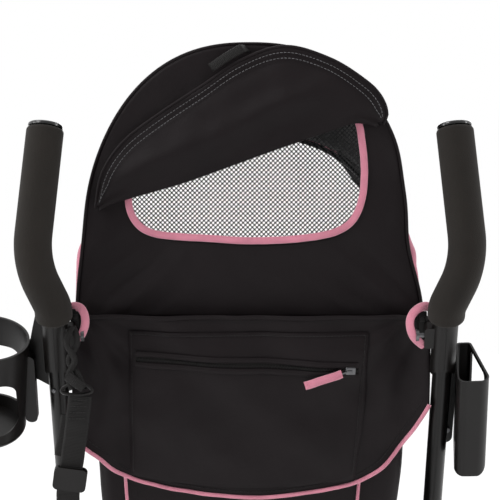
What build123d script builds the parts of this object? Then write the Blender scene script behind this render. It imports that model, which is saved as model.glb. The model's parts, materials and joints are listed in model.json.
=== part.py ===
from build123d import *

import math
import os

# Umbrella-fold pet stroller: two side frames joined by a scissor brace, with a soft cabin and hood between them.
#
# Units are millimetres. +Z is up and +Y is the direction of travel. Each side frame is a long tube, leaning back
# from the front caster to the handle, with a rear leg hinged behind it. The frame is drawn about its own middle
# plane, x = 0, and export() moves every piece by ORIGIN_SHIFT, so that the origin is under the middle of the whole.

# ---------------------------------------------------------------- driving dimensions
ORIGIN_SHIFT = (34.44, 42.27, 0.0)

HALF_TRACK = 188.0  # middle plane to a side tube's centre
COLLAR_Y, COLLAR_Z = -230.0, 800.0  # side tube's centre at the handle collar
SIDE_LEAN = 34.5  # degrees from vertical
SIDE_LENGTH = 752.0  # collar to the tube's lower end
TUBE_R, TUBE_WALL = 9.5, 1.5
GRIP_R = 18.0
WHEEL_R = 72.0

LEG_HINGE_S = 449.0  # along the side tube, from the collar
LEG_OFFSET = 24.0  # leg hinge and link lug behind the side tube's centre
LEG_LEAN = 42.0
FOLD_ANGLE = 52.0  # a rear leg's turn as the frame folds
SIDE_TRAVEL = 100.0  # how far each side frame moves in

BRACE_X = 160.0  # scissor pivots, from the middle plane
BRACE_HALF = 190.0  # half the length of a scissor bar, between pivots
BRACE_TOP_B = 34.0  # upper scissor pivot, along the leg from its hinge

HOOD_Y, HOOD_Z = -202.0, 815.0  # axis that the hood's bows fan out from
HOOD_A, HOOD_B, HOOD_N = 170.0, 283.0, 2.4  # hood arch: half width, height, and superellipse power
REAR_BOW_T, FRONT_BOW_T = -5.0, 42.0  # bow angles, forward of vertical
HOOD_FOOT = 17.6  # the hood cloth starts this far from its axis
CLOTH = 2.2
TUB_TOP_HALF, TUB_FLOOR_HALF = 160.0, 132.0  # the tub narrows towards its floor
TUB_CORNER_R = 40.0
TUB_PROFILE = [(-214, 829), (-169, 650), (-120, 478), (262, 470), (290, 600), (-200, 812)]

CASTER_Y, CASTER_TRAIL = 247.0, 32.0
RUN = 0.5  # gap between neighbouring layers that move

# ---------------------------------------------------------------- worked-out geometry


def direction(lean, forward):
    """Unit vector in the side plane, down from the top, leaning forward or back from vertical."""
    a = math.radians(lean)
    return Vector(0, math.sin(a) * (1 if forward else -1), -math.cos(a))


DOWN_SIDE = direction(SIDE_LEAN, True)
DOWN_LEG = direction(LEG_LEAN, False)
BEHIND_SIDE = Vector(0, DOWN_SIDE.Z, -DOWN_SIDE.Y)  # square to the side tube, back and down
LEG_NORMAL = Vector(0, DOWN_LEG.Z, -DOWN_LEG.Y)  # square to the leg, back and up


def side_point(s, behind=0.0, x=HALF_TRACK):
    """Point at distance s down the side tube's centreline."""
    return Vector(x, COLLAR_Y, COLLAR_Z) + DOWN_SIDE * s + BEHIND_SIDE * behind


LEG_HINGE = side_point(LEG_HINGE_S, LEG_OFFSET)


def leg_point(b, normal=0.0, x=HALF_TRACK):
    """Point at distance b down the rear leg from its hinge, and normal off the brace's plane."""
    return Vector(x, LEG_HINGE.Y, LEG_HINGE.Z) + DOWN_LEG * b + LEG_NORMAL * normal


BRACE_OPEN = math.degrees(math.acos(BRACE_X / BRACE_HALF))
BRACE_SHUT = math.degrees(math.acos((BRACE_X - SIDE_TRAVEL) / BRACE_HALF))
BRACE_TURN = BRACE_SHUT - BRACE_OPEN
BRACE_RISE = BRACE_HALF * math.sin(math.radians(BRACE_OPEN))
BRACE_RISE_SHUT = BRACE_HALF * math.sin(math.radians(BRACE_SHUT))
HUB_B = BRACE_TOP_B + BRACE_RISE
SLEEVE_B = BRACE_TOP_B + 2 * BRACE_RISE
SLEEVE_TRAVEL = 2 * (BRACE_RISE_SHUT - BRACE_RISE)
SLEEVE_HALF = 12.0
AXLE_B = (LEG_HINGE.Z - WHEEL_R) / math.cos(math.radians(LEG_LEAN))
REAR_AXLE = leg_point(AXLE_B)
FRONT_AXLE = Vector(HALF_TRACK, CASTER_Y - CASTER_TRAIL, WHEEL_R)


def turned(vector, angle):
    """A vector turned about +X, in degrees."""
    a = math.radians(angle)
    return Vector(
        vector.X, vector.Y * math.cos(a) - vector.Z * math.sin(a), vector.Y * math.sin(a) + vector.Z * math.cos(a)
    )


def link_geometry():
    """(distance of the link's lug below the leg hinge, its length, its turn in degrees about +X)."""
    gamma_open = math.radians(LEG_LEAN + SIDE_LEAN)
    gamma_shut = gamma_open - math.radians(FOLD_ANGLE)
    near, far = SLEEVE_B, SLEEVE_B + SLEEVE_TRAVEL
    rho = (far**2 - near**2) / (2 * (far * math.cos(gamma_shut) - near * math.cos(gamma_open)))
    length = math.sqrt(near**2 + rho**2 - 2 * near * rho * math.cos(gamma_open))
    lug = LEG_HINGE + DOWN_SIDE * rho
    open_way = leg_point(near) - lug
    shut_way = LEG_HINGE + turned(DOWN_LEG, FOLD_ANGLE) * far - lug
    turn = math.atan2(shut_way.Z, shut_way.Y) - math.atan2(open_way.Z, open_way.Y)
    return rho, length, (math.degrees(turn) + 180) % 360 - 180


LINK_RHO, LINK_LENGTH, LINK_TURN = link_geometry()
LINK_LUG = LEG_HINGE + DOWN_SIDE * LINK_RHO

# ---------------------------------------------------------------- shape helpers


def rod(start, end, radius, hole=0.0):
    """A round bar from start to end, with an optional hole through it."""
    plane = Plane(origin=start, z_dir=end - start)
    outline = Circle(radius) - Circle(hole) if hole else Circle(radius)
    return extrude(plane * outline, (end - start).length)


def swept(points, radii, radius, hole=0.0):
    """A round tube along straight runs joined by tangent arcs."""
    path = FilletPolyline(*points, radius=radii) if len(points) > 2 else Line(*points)
    ring = Circle(radius) - Circle(hole) if hole else Circle(radius)
    start = Plane(origin=path @ 0, z_dir=path % 0)
    return sweep(start * ring, path=path)


def rim(shape, near):
    """The circular edge whose centre is nearest to a point."""
    circles = shape.edges().filter_by(GeomType.CIRCLE)
    return min(circles, key=lambda edge: (edge.arc_center - near).length)


def frame_at(origin, z_dir, x_dir=Vector(1, 0, 0)):
    """A working plane whose X runs across the stroller unless x_dir says otherwise."""
    return Plane(origin=origin, x_dir=x_dir, z_dir=z_dir)


def block(plane, x, y, z, edge=0.0):
    """A box centred on a plane's origin, its vertical edges rounded."""
    outline = RectangleRounded(x, y, edge) if edge else Rectangle(x, y)
    return extrude(plane * outline, z / 2, both=True)


def both_sides(make):
    """{"right": shape, "left": its mirror image}."""
    right = make()
    return {"right": right, "left": mirror(right, about=Plane.YZ)}


PARTS = {}


def keep(name, shape):
    PARTS[name] = shape


def keep_pair(name, make):
    for side, shape in both_sides(make).items():
        keep(f"{name}_{side}", shape)


# ---------------------------------------------------------------- side frames

GRIP_START = side_point(-38)
GRIP_FOOT = side_point(-52)
GRIP_BEND = Vector(HALF_TRACK + 19, -283, 886)
GRIP_TIP = Vector(HALF_TRACK + 7.5, -258, 1014)
TUBE_BENDS = (30, 62)


def side_tube():
    """Steel tube, one piece from the caster socket to the tip of the handle."""
    points = [side_point(SIDE_LENGTH), GRIP_FOOT, GRIP_BEND, GRIP_TIP]
    return swept(points, TUBE_BENDS, TUBE_R, TUBE_R - TUBE_WALL)


def foam_grip():
    """Foam sleeve round the bent handle, with soft ends."""
    tip = GRIP_TIP + (GRIP_TIP - GRIP_BEND).normalized() * -0.5
    foam = swept([GRIP_START, GRIP_FOOT, GRIP_BEND, tip], TUBE_BENDS, GRIP_R)
    ends = foam.faces().filter_by(GeomType.PLANE)
    foam = fillet(ends.edges(), 4.0)
    return foam - swept([side_point(-20), GRIP_FOOT, GRIP_BEND, GRIP_TIP], TUBE_BENDS, TUBE_R)


def grip_cap():
    """Gloss plug in the tube's open end."""
    along = (GRIP_TIP - GRIP_BEND).normalized()
    lid = rod(GRIP_TIP, GRIP_TIP + along * 3.5, GRIP_R - 1.2)
    lid = fillet(rim(lid, GRIP_TIP + along * 40), 2.0)
    return lid + rod(GRIP_TIP - along * 14, GRIP_TIP, TUBE_R - TUBE_WALL)


COLLAR_R, COLLAR_TOP_S, COLLAR_END_S = 12.4, -37.6, 25.0
STUD_S = -18.0
RIVET_S = 43.5


def handle_collar():
    """Two-part moulded clamp under the grip, arched at its foot, with a lug for the cabin's corner loop."""
    body = rod(side_point(COLLAR_TOP_S), side_point(COLLAR_END_S), COLLAR_R)
    arch = frame_at(side_point(COLLAR_END_S), BEHIND_SIDE)
    body -= extrude(arch * Ellipse(10.4, 7), 40, both=True)
    for way in (-1, 1):
        seam = frame_at(side_point((COLLAR_TOP_S + COLLAR_END_S) / 2, way * COLLAR_R), BEHIND_SIDE)
        body -= block(seam, 0.9, 80, 1.4)
    body += block(frame_at(side_point(STUD_S, x=HALF_TRACK - 14), BEHIND_SIDE), 12, 24, 12, 3)
    return body - rod(side_point(COLLAR_TOP_S - 5), side_point(COLLAR_END_S + 5), TUBE_R)


def collar_stud():
    """Stud and head on the collar's inner lug, which the corner loop buttons over."""
    root = side_point(STUD_S, x=HALF_TRACK - 20)
    return rod(root, root - Vector(5, 0, 0), 3) + rod(root - Vector(5, 0, 0), root - Vector(8, 0, 0), 6)


def tube_rivet():
    """Small domed rivet on the tube's back, under the collar."""
    way = (BEHIND_SIDE + Vector(0.5, 0, 0)).normalized()
    face = side_point(RIVET_S) + way * TUBE_R
    head = rod(face, face + way * 1.6, 2.4)
    return fillet(rim(head, face + way * 20), 0.9)


BRACKET_X = 14.0


def leg_bracket():
    """Moulded bracket round the side tube, with two cheeks that hold the rear leg's hinge."""
    middle = side_point(LEG_HINGE_S)
    body = block(frame_at(middle, BEHIND_SIDE), 2 * BRACKET_X, 58, 26, 6)
    plane = frame_at(side_point(LEG_HINGE_S, LEG_OFFSET / 2 + 6), Vector(1, 0, 0), BEHIND_SIDE)
    cheeks = block(plane, 36, 30, 28, 10)
    cheeks -= Box(21, 400, 400).locate(Location((HALF_TRACK, LEG_HINGE.Y, LEG_HINGE.Z)))
    cheeks += block(frame_at(middle, BEHIND_SIDE), 2 * BRACKET_X, 30, 24)
    body += cheeks
    body -= rod(side_point(LEG_HINGE_S - 60), side_point(LEG_HINGE_S + 60), TUBE_R)
    body -= rod(LEG_HINGE, LEG_HINGE + DOWN_LEG * 60, 13.5)
    body -= rod(LEG_HINGE - Vector(11, 0, 0), LEG_HINGE + Vector(11, 0, 0), 14.0)
    body -= rod(LEG_HINGE - Vector(40, 0, 0), LEG_HINGE + Vector(40, 0, 0), 4.0)
    return body


def leg_hinge_pin():
    """Rivet through the bracket's cheeks and the leg's eye."""
    pin = rod(LEG_HINGE - Vector(16, 0, 0), LEG_HINGE + Vector(16, 0, 0), 4.0)
    for way in (-1, 1):
        face = LEG_HINGE + Vector(way * BRACKET_X, 0, 0)
        pin += rod(face, face + Vector(way * 2.5, 0, 0), 7.5)
    return pin


def link_lug():
    """Band round the side tube with a boss for the side link."""
    s = LEG_HINGE_S + LINK_RHO
    band = rod(side_point(s - 12), side_point(s + 12), 12.5)
    band += block(frame_at(side_point(s, LEG_OFFSET / 2 + 4), Vector(1, 0, 0), BEHIND_SIDE), 36, 20, 26, 8)
    band -= rod(LINK_LUG - Vector(5, 0, 0), LINK_LUG + Vector(20, 0, 0), LINK_PIN_R + 0.05)
    return band - rod(side_point(s - 20), side_point(s + 20), TUBE_R)


LINK_PIN_R = 3.0
SOCKET_TOP, SOCKET_LOW = 205.0, 166.0
SWIVEL_R = 5.0


def front_socket():
    """Moulded block that closes the side tube's lower end and carries the caster's upright."""
    body = rod(side_point(SIDE_LENGTH - 34), side_point(SIDE_LENGTH + 4), 14)
    post = Vector(HALF_TRACK, CASTER_Y, SOCKET_LOW)
    body += rod(post, post + Vector(0, 0, SOCKET_TOP - SOCKET_LOW), 15)
    tube_end = side_point(SIDE_LENGTH - 12)
    web = Polygon(
        (tube_end.Y, tube_end.Z + 12), (CASTER_Y, SOCKET_TOP - 4),
        (CASTER_Y, SOCKET_LOW), (tube_end.Y + 4, SOCKET_LOW + 6),
        align=None,
    )
    body += extrude(Plane.YZ.offset(HALF_TRACK) * web, 9, both=True)
    body -= rod(side_point(SIDE_LENGTH - 60), side_point(SIDE_LENGTH), TUBE_R)
    return body - rod(post - Vector(0, 0, 5), post + Vector(0, 0, 32), SWIVEL_R + 0.05)


# ---------------------------------------------------------------- rear legs and fold linkage


def rear_leg():
    """Steel tube from the hinge eye down into the wheel housing."""
    tube = rod(leg_point(13), leg_point(AXLE_B - 30), TUBE_R, TUBE_R - TUBE_WALL)
    eye = rod(LEG_HINGE - Vector(10, 0, 0), LEG_HINGE + Vector(10, 0, 0), 12.5)
    eye += rod(leg_point(0), leg_point(24), TUBE_R)
    return tube + (eye - rod(LEG_HINGE - Vector(20, 0, 0), LEG_HINGE + Vector(20, 0, 0), 4.05))


EAR, BAR_W, BAR_T = 3.0, 16.0, 6.0
BAR_GAP = BAR_T / 2 + RUN / 2


def ear(b, layer, reach=BRACE_X, hold=12.0):
    """Ear on a clamp at b down the leg; layer is +1 behind the scissor bars and -1 in front of them."""
    off = layer * (2 * BAR_GAP + RUN + EAR / 2)
    plate = frame_at(leg_point(b, off, x=(reach + HALF_TRACK) / 2), LEG_NORMAL)
    arm = block(plate, HALF_TRACK - reach, 16, EAR)
    tip = frame_at(leg_point(b, off, x=reach), LEG_NORMAL)
    return arm + extrude(tip * Circle(8), EAR / 2, both=True)


CLAMP_R = 13.0


def brace_bracket(layer, right):
    """Upper scissor clamp, fixed to the leg, with an ear for its own side's bar."""
    body = rod(leg_point(BRACE_TOP_B - 11), leg_point(BRACE_TOP_B + 11), CLAMP_R)
    body += ear(BRACE_TOP_B, layer)
    body -= rod(leg_point(BRACE_TOP_B - 40), leg_point(BRACE_TOP_B + 40), TUBE_R)
    return body if right else mirror(body, about=Plane.YZ)


def sleeve_with_ear(layer, right):
    """Lower scissor sleeve, which slides down the leg as the frame folds."""
    body = rod(leg_point(SLEEVE_B - SLEEVE_HALF), leg_point(SLEEVE_B + SLEEVE_HALF), CLAMP_R)
    body += ear(SLEEVE_B, layer)
    plane = frame_at(leg_point(SLEEVE_B, x=HALF_TRACK + CLAMP_R / 2), Vector(1, 0, 0), LEG_NORMAL)
    body += block(plane, 16, 20, CLAMP_R, 4)
    body -= rod(leg_point(SLEEVE_B - 40), leg_point(SLEEVE_B + 40), TUBE_R + 0.1)
    return body if right else mirror(body, about=Plane.YZ)


HUB = leg_point(HUB_B, x=0)
PIN_R = 4.0


def cross_bar(layer, upper_right):
    """Flat steel scissor bar, with a rivet at each end and a hole for the middle pin."""
    sign = 1 if upper_right else -1
    rise = math.radians(BRACE_OPEN)
    plane = frame_at(HUB + LEG_NORMAL * (layer * BAR_GAP), LEG_NORMAL)
    # the plane's own Y runs up or down the leg; up_leg says which
    up_leg = 1 if plane.y_dir.dot(DOWN_LEG) < 0 else -1
    along = math.degrees(math.atan2(up_leg * math.sin(rise), sign * math.cos(rise)))
    outline = Rot(0, 0, along) * SlotCenterToCenter(2 * BRACE_HALF, BAR_W)
    bar = extrude(plane * outline, BAR_T / 2, both=True)
    bar -= extrude(plane * Circle(PIN_R + 0.05), 20, both=True)
    for end in (-1, 1):
        spot = Rot(0, 0, along) * Pos(end * BRACE_HALF, 0)
        inward = -layer * (BAR_T / 2)
        bar += extrude(plane.offset(inward) * (spot * Circle(6.5)), -layer * 2.0)
    return bar


def cross_pin():
    """Middle rivet of the scissor, with a washer and a head on each side."""
    reach = 2 * BAR_GAP
    pin = rod(HUB - LEG_NORMAL * (reach + 4), HUB + LEG_NORMAL * (reach + 4), PIN_R)
    for way in (-1, 1):
        face = HUB + LEG_NORMAL * (way * (reach + RUN))
        pin += rod(face, face + LEG_NORMAL * (way * 2), 9)
        pin += rod(face + LEG_NORMAL * (way * 2), face + LEG_NORMAL * (way * 4.5), 6.5)
    return pin


LINK_X = HALF_TRACK + CLAMP_R + RUN


def side_link():
    """Flat steel link from the side tube's lug to the sleeve, outside both, with a rivet head at each end."""
    sleeve_pin = leg_point(SLEEVE_B)
    way = sleeve_pin - LINK_LUG
    plane = Plane(
        origin=Vector(LINK_X, 0, 0) + Vector(0, (LINK_LUG.Y + sleeve_pin.Y) / 2, (LINK_LUG.Z + sleeve_pin.Z) / 2),
        x_dir=way,
        z_dir=Vector(1, 0, 0),
    )
    link = extrude(plane * SlotCenterToCenter(LINK_LENGTH, 14), 3)
    for end in (-1, 1):
        link += extrude(plane.offset(3) * (Pos(end * LINK_LENGTH / 2, 0) * Circle(5.5)), 2)
    lug = Vector(LINK_X, LINK_LUG.Y, LINK_LUG.Z)
    return link + rod(lug - Vector(16, 0, 0), lug, LINK_PIN_R)


# ---------------------------------------------------------------- wheels

TYRE_IN_R = 56.0
REAR_WHEEL_X = HALF_TRACK + 32.0
WHEEL_W, HUB_W = 24.0, 30.0
AXLE_R = 4.0


def tyre(centre):
    """Foam tyre with a rounded tread, turned about the axle."""
    tread = RectangleRounded(2 * (WHEEL_R - TYRE_IN_R), WHEEL_W, 7)
    half = Pos(WHEEL_R - (WHEEL_R - TYRE_IN_R), 0) * tread
    half -= Pos(TYRE_IN_R - 50, 0) * Rectangle(100, 60)
    # the section is drawn with its radius along X and its width along Y, then turned about Y
    ring = revolve(Plane.XY * half, Axis.Y)
    for way in (-1, 1):
        groove = revolve(Plane.XY * (Pos(WHEEL_R, way * 5) * Circle(1.2)), Axis.Y)
        ring -= groove
    return Location(tuple(centre)) * (Rot(0, 0, 90) * ring)


def wheel_hub(centre):
    """Moulded rim, six spokes and a boss with a running bore."""
    rim = Cylinder(TYRE_IN_R, WHEEL_W - 2) - Cylinder(TYRE_IN_R - 6, WHEEL_W)
    boss = Cylinder(13, HUB_W - 2)
    web = Cylinder(TYRE_IN_R - 4, 6)
    for k in range(6):
        gap = Pos(31, 0, 0) * extrude(RectangleRounded(28, 20, 6), 20, both=True)
        spoke_gap = Rot(0, 0, k * 60 + 30) * gap
        web -= spoke_gap
    hub = rim + web + boss - Cylinder(AXLE_R + 0.05, 60)
    return Location(tuple(centre)) * (Rot(0, 90, 0) * hub)


FORK_GAP, FORK_T = 16.0, 4.0


def caster_fork():
    """Fork with an upright pin that turns in the front socket."""
    crown_low = 2 * WHEEL_R + 6
    crown = Pos(0, 0, crown_low + 5) * extrude(SlotCenterToCenter(30, 34), 5, both=True)
    fork = Pos(HALF_TRACK, CASTER_Y - 13, 0) * (Rot(0, 0, 90) * crown)
    for way in (-1, 1):
        leg = Polygon(
            (CASTER_Y - 44, crown_low + 3), (CASTER_Y + 12, crown_low + 3),
            (FRONT_AXLE.Y + 9, FRONT_AXLE.Z - 3),
            (FRONT_AXLE.Y, FRONT_AXLE.Z - 9), (FRONT_AXLE.Y - 9, FRONT_AXLE.Z - 3), align=None,
        )
        side = Plane.YZ.offset(HALF_TRACK + way * (FORK_GAP + FORK_T / 2))
        fork += extrude(side * leg, FORK_T / 2, both=True)
    upright = Vector(HALF_TRACK, CASTER_Y, crown_low + 4)
    fork += rod(upright, Vector(HALF_TRACK, CASTER_Y, SOCKET_LOW + 30), SWIVEL_R)
    return fork - rod(FRONT_AXLE - Vector(40, 0, 0), FRONT_AXLE + Vector(40, 0, 0), AXLE_R)


def front_axle():
    """Axle through fork and wheel, with a head at each end."""
    reach = FORK_GAP + FORK_T
    axle = rod(FRONT_AXLE - Vector(reach, 0, 0), FRONT_AXLE + Vector(reach, 0, 0), AXLE_R)
    for way in (-1, 1):
        face = FRONT_AXLE + Vector(way * reach, 0, 0)
        axle += rod(face, face + Vector(way * 2.5, 0, 0), 6.5)
    return axle


LOCK_PIVOT_Y, LOCK_PIVOT_Z = CASTER_Y + 21, 196.0


def swivel_lock():
    """Lever on the front socket's nose that drops to stop the caster's swivel."""
    pivot = Vector(HALF_TRACK, LOCK_PIVOT_Y, LOCK_PIVOT_Z)
    lever = rod(pivot - Vector(9, 0, 0), pivot + Vector(9, 0, 0), 4, 1.5)
    tab = block(frame_at(pivot + Vector(0, 11, -6), Vector(0, 0.45, 1)), 16, 18, 4, 3)
    return lever + tab


def lock_ears():
    """Ears on the socket that hold the swivel lock's pin."""
    pivot = Vector(HALF_TRACK, LOCK_PIVOT_Y, LOCK_PIVOT_Z)
    ears = rod(pivot - Vector(13, 0, 0), pivot + Vector(13, 0, 0), 1.45)
    for way in (-1, 1):
        ears += block(Plane(origin=pivot + Vector(way * 11.2, -6, 0), z_dir=(1, 0, 0)), 8, 18, 3)
    return ears


HOUSING_TOP = 50.0  # the foot moulding starts this far above the axle


def rear_housing():
    """Moulded foot of the rear leg, bored for the axle, with a pocket for the brake pedal."""
    body = rod(leg_point(AXLE_B - HOUSING_TOP), leg_point(AXLE_B - 14), 14.5)
    body += rod(REAR_AXLE - Vector(14, 0, 0), REAR_AXLE + Vector(14, 0, 0), 17)
    body += block(frame_at(leg_point(AXLE_B - 24), DOWN_LEG), 26, 24, 26, 5)
    body -= rod(leg_point(AXLE_B - 90), leg_point(AXLE_B - 30), TUBE_R)
    return body - rod(REAR_AXLE - Vector(40, 0, 0), REAR_AXLE + Vector(40, 0, 0), AXLE_R)


def rear_axle():
    """Stub axle, pressed in the housing, with a retaining cap outside the wheel."""
    outer = REAR_WHEEL_X + HUB_W / 2
    start = Vector(HALF_TRACK - 14, REAR_AXLE.Y, REAR_AXLE.Z)
    end = Vector(outer + 0.5, REAR_AXLE.Y, REAR_AXLE.Z)
    axle = rod(start, end, AXLE_R)
    axle += rod(start - Vector(2.5, 0, 0), start, 7)
    return axle + rod(end, end + Vector(3.5, 0, 0), 9)


BRAKE_PIVOT = leg_point(AXLE_B - 30, 22)


def brake_pedal():
    """Foot pedal hinged on the housing's back, which presses on the tyre when it is pushed down."""
    boss = rod(BRAKE_PIVOT - Vector(12, 0, 0), BRAKE_PIVOT + Vector(12, 0, 0), 6, 2.05)
    pad = block(frame_at(BRAKE_PIVOT + LEG_NORMAL * 18 - DOWN_LEG * 4, DOWN_LEG), 30, 30, 5, 5)
    return boss + pad


def brake_ears():
    """Pin and ears for the brake pedal."""
    pin = rod(BRAKE_PIVOT - Vector(15.5, 0, 0), BRAKE_PIVOT + Vector(15.5, 0, 0), 2.0)
    for way in (-1, 1):
        origin = BRAKE_PIVOT + Vector(way * 14, 0, 0) - LEG_NORMAL * 8
        plate = Plane(origin=origin, x_dir=LEG_NORMAL, z_dir=(1, 0, 0))
        pin += block(plate, 20, 10, 3, 1.4)
    return pin


# ---------------------------------------------------------------- accessories on the handles

CUP_TOP = Vector(HALF_TRACK + 68.5, -231, 811.7)  # middle of the ring's mouth
CUP_WAY = Vector(8.5, 44, -79.7).normalized()  # from the ring down to the bowl
CUP_R, CUP_WALL = 40.0, 2.5
RING_H, BOWL_TOP, BOWL_H = 32.5, 91.0, 16.0
WEB_OUT, WEB_MIDDLE, WEB_WIDTH, WEB_LENGTH, WEB_T = 45.8, 56.0, 12.0, 76.0, 9.0  # flange along the arm
HOLDER_BACK = 14.6  # both holders' plates pass this far in front of the side tube's centre
PLATE_T = 3.4


def cup_holder():
    """Left cup holder: a ring above and a dished ring below, joined by a curved arm on the side near the tube."""
    down = CUP_WAY
    foot = CUP_TOP + down * (BOWL_TOP + BOWL_H)
    shell = rod(CUP_TOP, foot, CUP_R + CUP_WALL)
    shell = fillet(rim(shell, foot + down * 60), 10)
    shell -= rod(CUP_TOP - down * 5, foot - down * 4, CUP_R)
    drain = rod(foot - down * 10, foot + down * 5, 9)
    behind = Vector(0, -1, 0) + down * down.Y
    gap = Plane(origin=CUP_TOP + down * ((RING_H + BOWL_TOP) / 2), x_dir=(1, 0, 0), z_dir=behind)
    gap_width = 100.0
    outline = Pos(gap_width / 2 - 36.5, 0) * RectangleRounded(gap_width, BOWL_TOP - RING_H, 14)
    shell -= extrude(gap * outline, 60, both=True)
    web = Plane(origin=CUP_TOP + down * WEB_MIDDLE, x_dir=(1, 0, 0), z_dir=behind)
    rib = Pos(-WEB_OUT, 0) * RectangleRounded(WEB_WIDTH, WEB_LENGTH, 5.5)
    bore = rod(CUP_TOP - down * 5, foot - down * 4.5, CUP_R + 0.5)
    return mirror(shell - drain + (extrude(web * rib, WEB_T / 2, both=True) - bore), about=Plane.YZ)


def cup_bracket():
    """Plate in front of the left collar that the cup holder's ring is moulded to."""
    plane = frame_at(side_point(0, -HOLDER_BACK - PLATE_T / 2), BEHIND_SIDE)
    down = 1 if plane.y_dir.dot(DOWN_SIDE) > 0 else -1
    outline = [(-9, -24), (20, -31), (24, -14), (27, 0), (34, 8), (34, 44), (22, 48), (12, 55), (-9, 56)]
    plate = make_face(Polyline(*[(x, down * s) for x, s in outline], close=True))
    plate = fillet(plate.vertices(), 2.0)
    body = extrude(plane * plate, PLATE_T / 2, both=True)
    body -= rod(CUP_TOP - CUP_WAY * 60, CUP_TOP + CUP_WAY * 160, CUP_R + CUP_WALL + 0.05)
    web = frame_at(CUP_TOP + CUP_WAY * WEB_MIDDLE - Vector(WEB_OUT, 0, 0), CUP_WAY)
    body -= block(web, WEB_WIDTH + 0.1, WEB_T + 0.1, WEB_LENGTH + 0.1)
    foam = (GRIP_BEND - GRIP_FOOT).normalized()
    body -= rod(GRIP_FOOT - foam * 60, GRIP_FOOT + foam * 40, GRIP_R + 0.6)
    body -= rod(side_point(-80), side_point(COLLAR_TOP_S + 1), GRIP_R + 0.6)
    return mirror(body, about=Plane.YZ)


BAG_TOP = Vector(214.8, 0, 0) + side_point(14, 1, x=0)  # middle of the holder's mouth
BAG_WAY = (DOWN_SIDE + Vector(0.037, 0, 0)).normalized()
BAG_H = 120.0
# across and back from the mouth's middle
BAG_OUTLINE = [(-15.8, 31.5), (18.2, 31.5), (3.4, -31.5), (-11.0, -31.5)]


def bag_plane(depth, behind=0.0):
    """Plane square to the bag holder's length, at a depth below its mouth."""
    across = Vector(1, 0, 0) - BAG_WAY * BAG_WAY.X
    return Plane(origin=BAG_TOP + BAG_WAY * depth + BEHIND_SIDE * behind, x_dir=across, z_dir=BAG_WAY)


def bag_outline(inset):
    """The holder's section: wide at the back, narrow in front, its outer side slanting between them."""
    face = make_face(Polyline(*BAG_OUTLINE, close=True))
    corners = face.vertices().sort_by(Axis.Y)
    face = fillet(corners[2:], 9)
    face = fillet(face.vertices().sort_by(Axis.Y)[:2], 4)
    return offset(face, -inset) if inset else face


def bag_holder():
    """Right-hand holder: a deep tube, closed at its foot, its outer side cut away under the rim."""
    outer = extrude(bag_plane(0) * bag_outline(0), BAG_H)
    behind = frame_at(BAG_TOP + BAG_WAY * (BAG_H / 2 - 20), BAG_WAY.cross(Vector(1, 0, 0)))
    outer &= extrude(behind * Pos(1.2, 0) * RectangleRounded(34.2, BAG_H + 40, 11), 60, both=True)
    outer -= extrude(bag_plane(-8) * bag_outline(2.0), BAG_H)
    # the outer side runs from the near right corner to the far right one
    near, far = (bag_plane(28).from_local_coords(Vector(x, y, 0)) for x, y in BAG_OUTLINE[1:3])
    along = (far - near).normalized()
    side = Plane(origin=near + along * 38, x_dir=along, z_dir=along.cross(BAG_WAY))
    return outer - extrude(side * RectangleRounded(40, 46, 5), 7, both=True)


def bag_bracket():
    """Strap plate in front of the right side tube that the bag holder is bolted to."""
    middle = side_point(60, -HOLDER_BACK - PLATE_T / 2, x=HALF_TRACK + 6)
    plate = block(frame_at(middle, BEHIND_SIDE), 22, 140, PLATE_T, 8)
    return plate - extrude(bag_plane(-60) * offset(bag_outline(0), 0.05), BAG_H + 90)


def bag_bolt():
    """Bolt head on the strap plate's back."""
    face = side_point(112, -HOLDER_BACK, x=HALF_TRACK + 10.5)
    return rod(face, face + BEHIND_SIDE * 2.6, 3.4)


# ---------------------------------------------------------------- cloth parts, as plain solids


def fan_point(x, radius, tilt):
    """Point at radius from the hood's axis, tilt degrees forward of vertical."""
    a = math.radians(tilt)
    return Vector(x, HOOD_Y + radius * math.sin(a), HOOD_Z + radius * math.cos(a))


def arch_face(half, height, power, tilt, foot, steps=10):
    """A filled arch standing on the hood's axis in a plane tilted about it."""
    points = []
    for k in range(steps + 1):
        a = math.pi / 2 * k / steps
        across = half * math.cos(a) ** (2 / power)
        up = foot + (height - foot) * math.sin(a) ** (2 / power)
        points.append((across, up))
    outline = points + [(-x, r) for x, r in points[-2::-1]]
    curve = Spline(*[fan_point(x, r, tilt) for x, r in outline])
    base = Line(curve @ 1, curve @ 0)
    return make_face([curve, base])


def hood():
    """Hood between the two bows: a shell turned about the hood's axis, open below and in front."""

    def body(inset, start, end, foot):
        face = arch_face(HOOD_A - inset, HOOD_B - inset, HOOD_N, start, foot)
        return revolve(face, Axis((0, HOOD_Y, HOOD_Z), (1, 0, 0)), start - end)

    inside = body(CLOTH, REAR_BOW_T - 2, FRONT_BOW_T + 4, HOOD_FOOT - 8)
    return body(0, REAR_BOW_T + 0.8, FRONT_BOW_T, HOOD_FOOT) - inside


WINDOW_HALF, WINDOW_LOW, WINDOW_HIGH = 120.0, 88.0, 246.0


def rear_plane(out=0.0):
    """Plane of the hood's rear wall: X runs across, Y up from the hood's axis, Z out to the rear."""
    a = math.radians(REAR_BOW_T)
    out_way = Vector(0, -math.cos(a), math.sin(a))
    return Plane(origin=fan_point(0, 0, REAR_BOW_T) + out_way * out, x_dir=(1, 0, 0), z_dir=out_way)


def rear_panel():
    """Rear wall of the hood with the window's opening, in the rear bow's plane."""
    face = arch_face(HOOD_A, HOOD_B, HOOD_N, REAR_BOW_T, HOOD_FOOT)
    plane = rear_plane()
    wall = extrude(face, amount=CLOTH, dir=plane.z_dir)
    pane = RectangleRounded(2 * WINDOW_HALF, WINDOW_HIGH - WINDOW_LOW, 34)
    opening = Pos(0, (WINDOW_LOW + WINDOW_HIGH) / 2) * pane
    return wall - extrude(plane * opening, 20, both=True)


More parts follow.
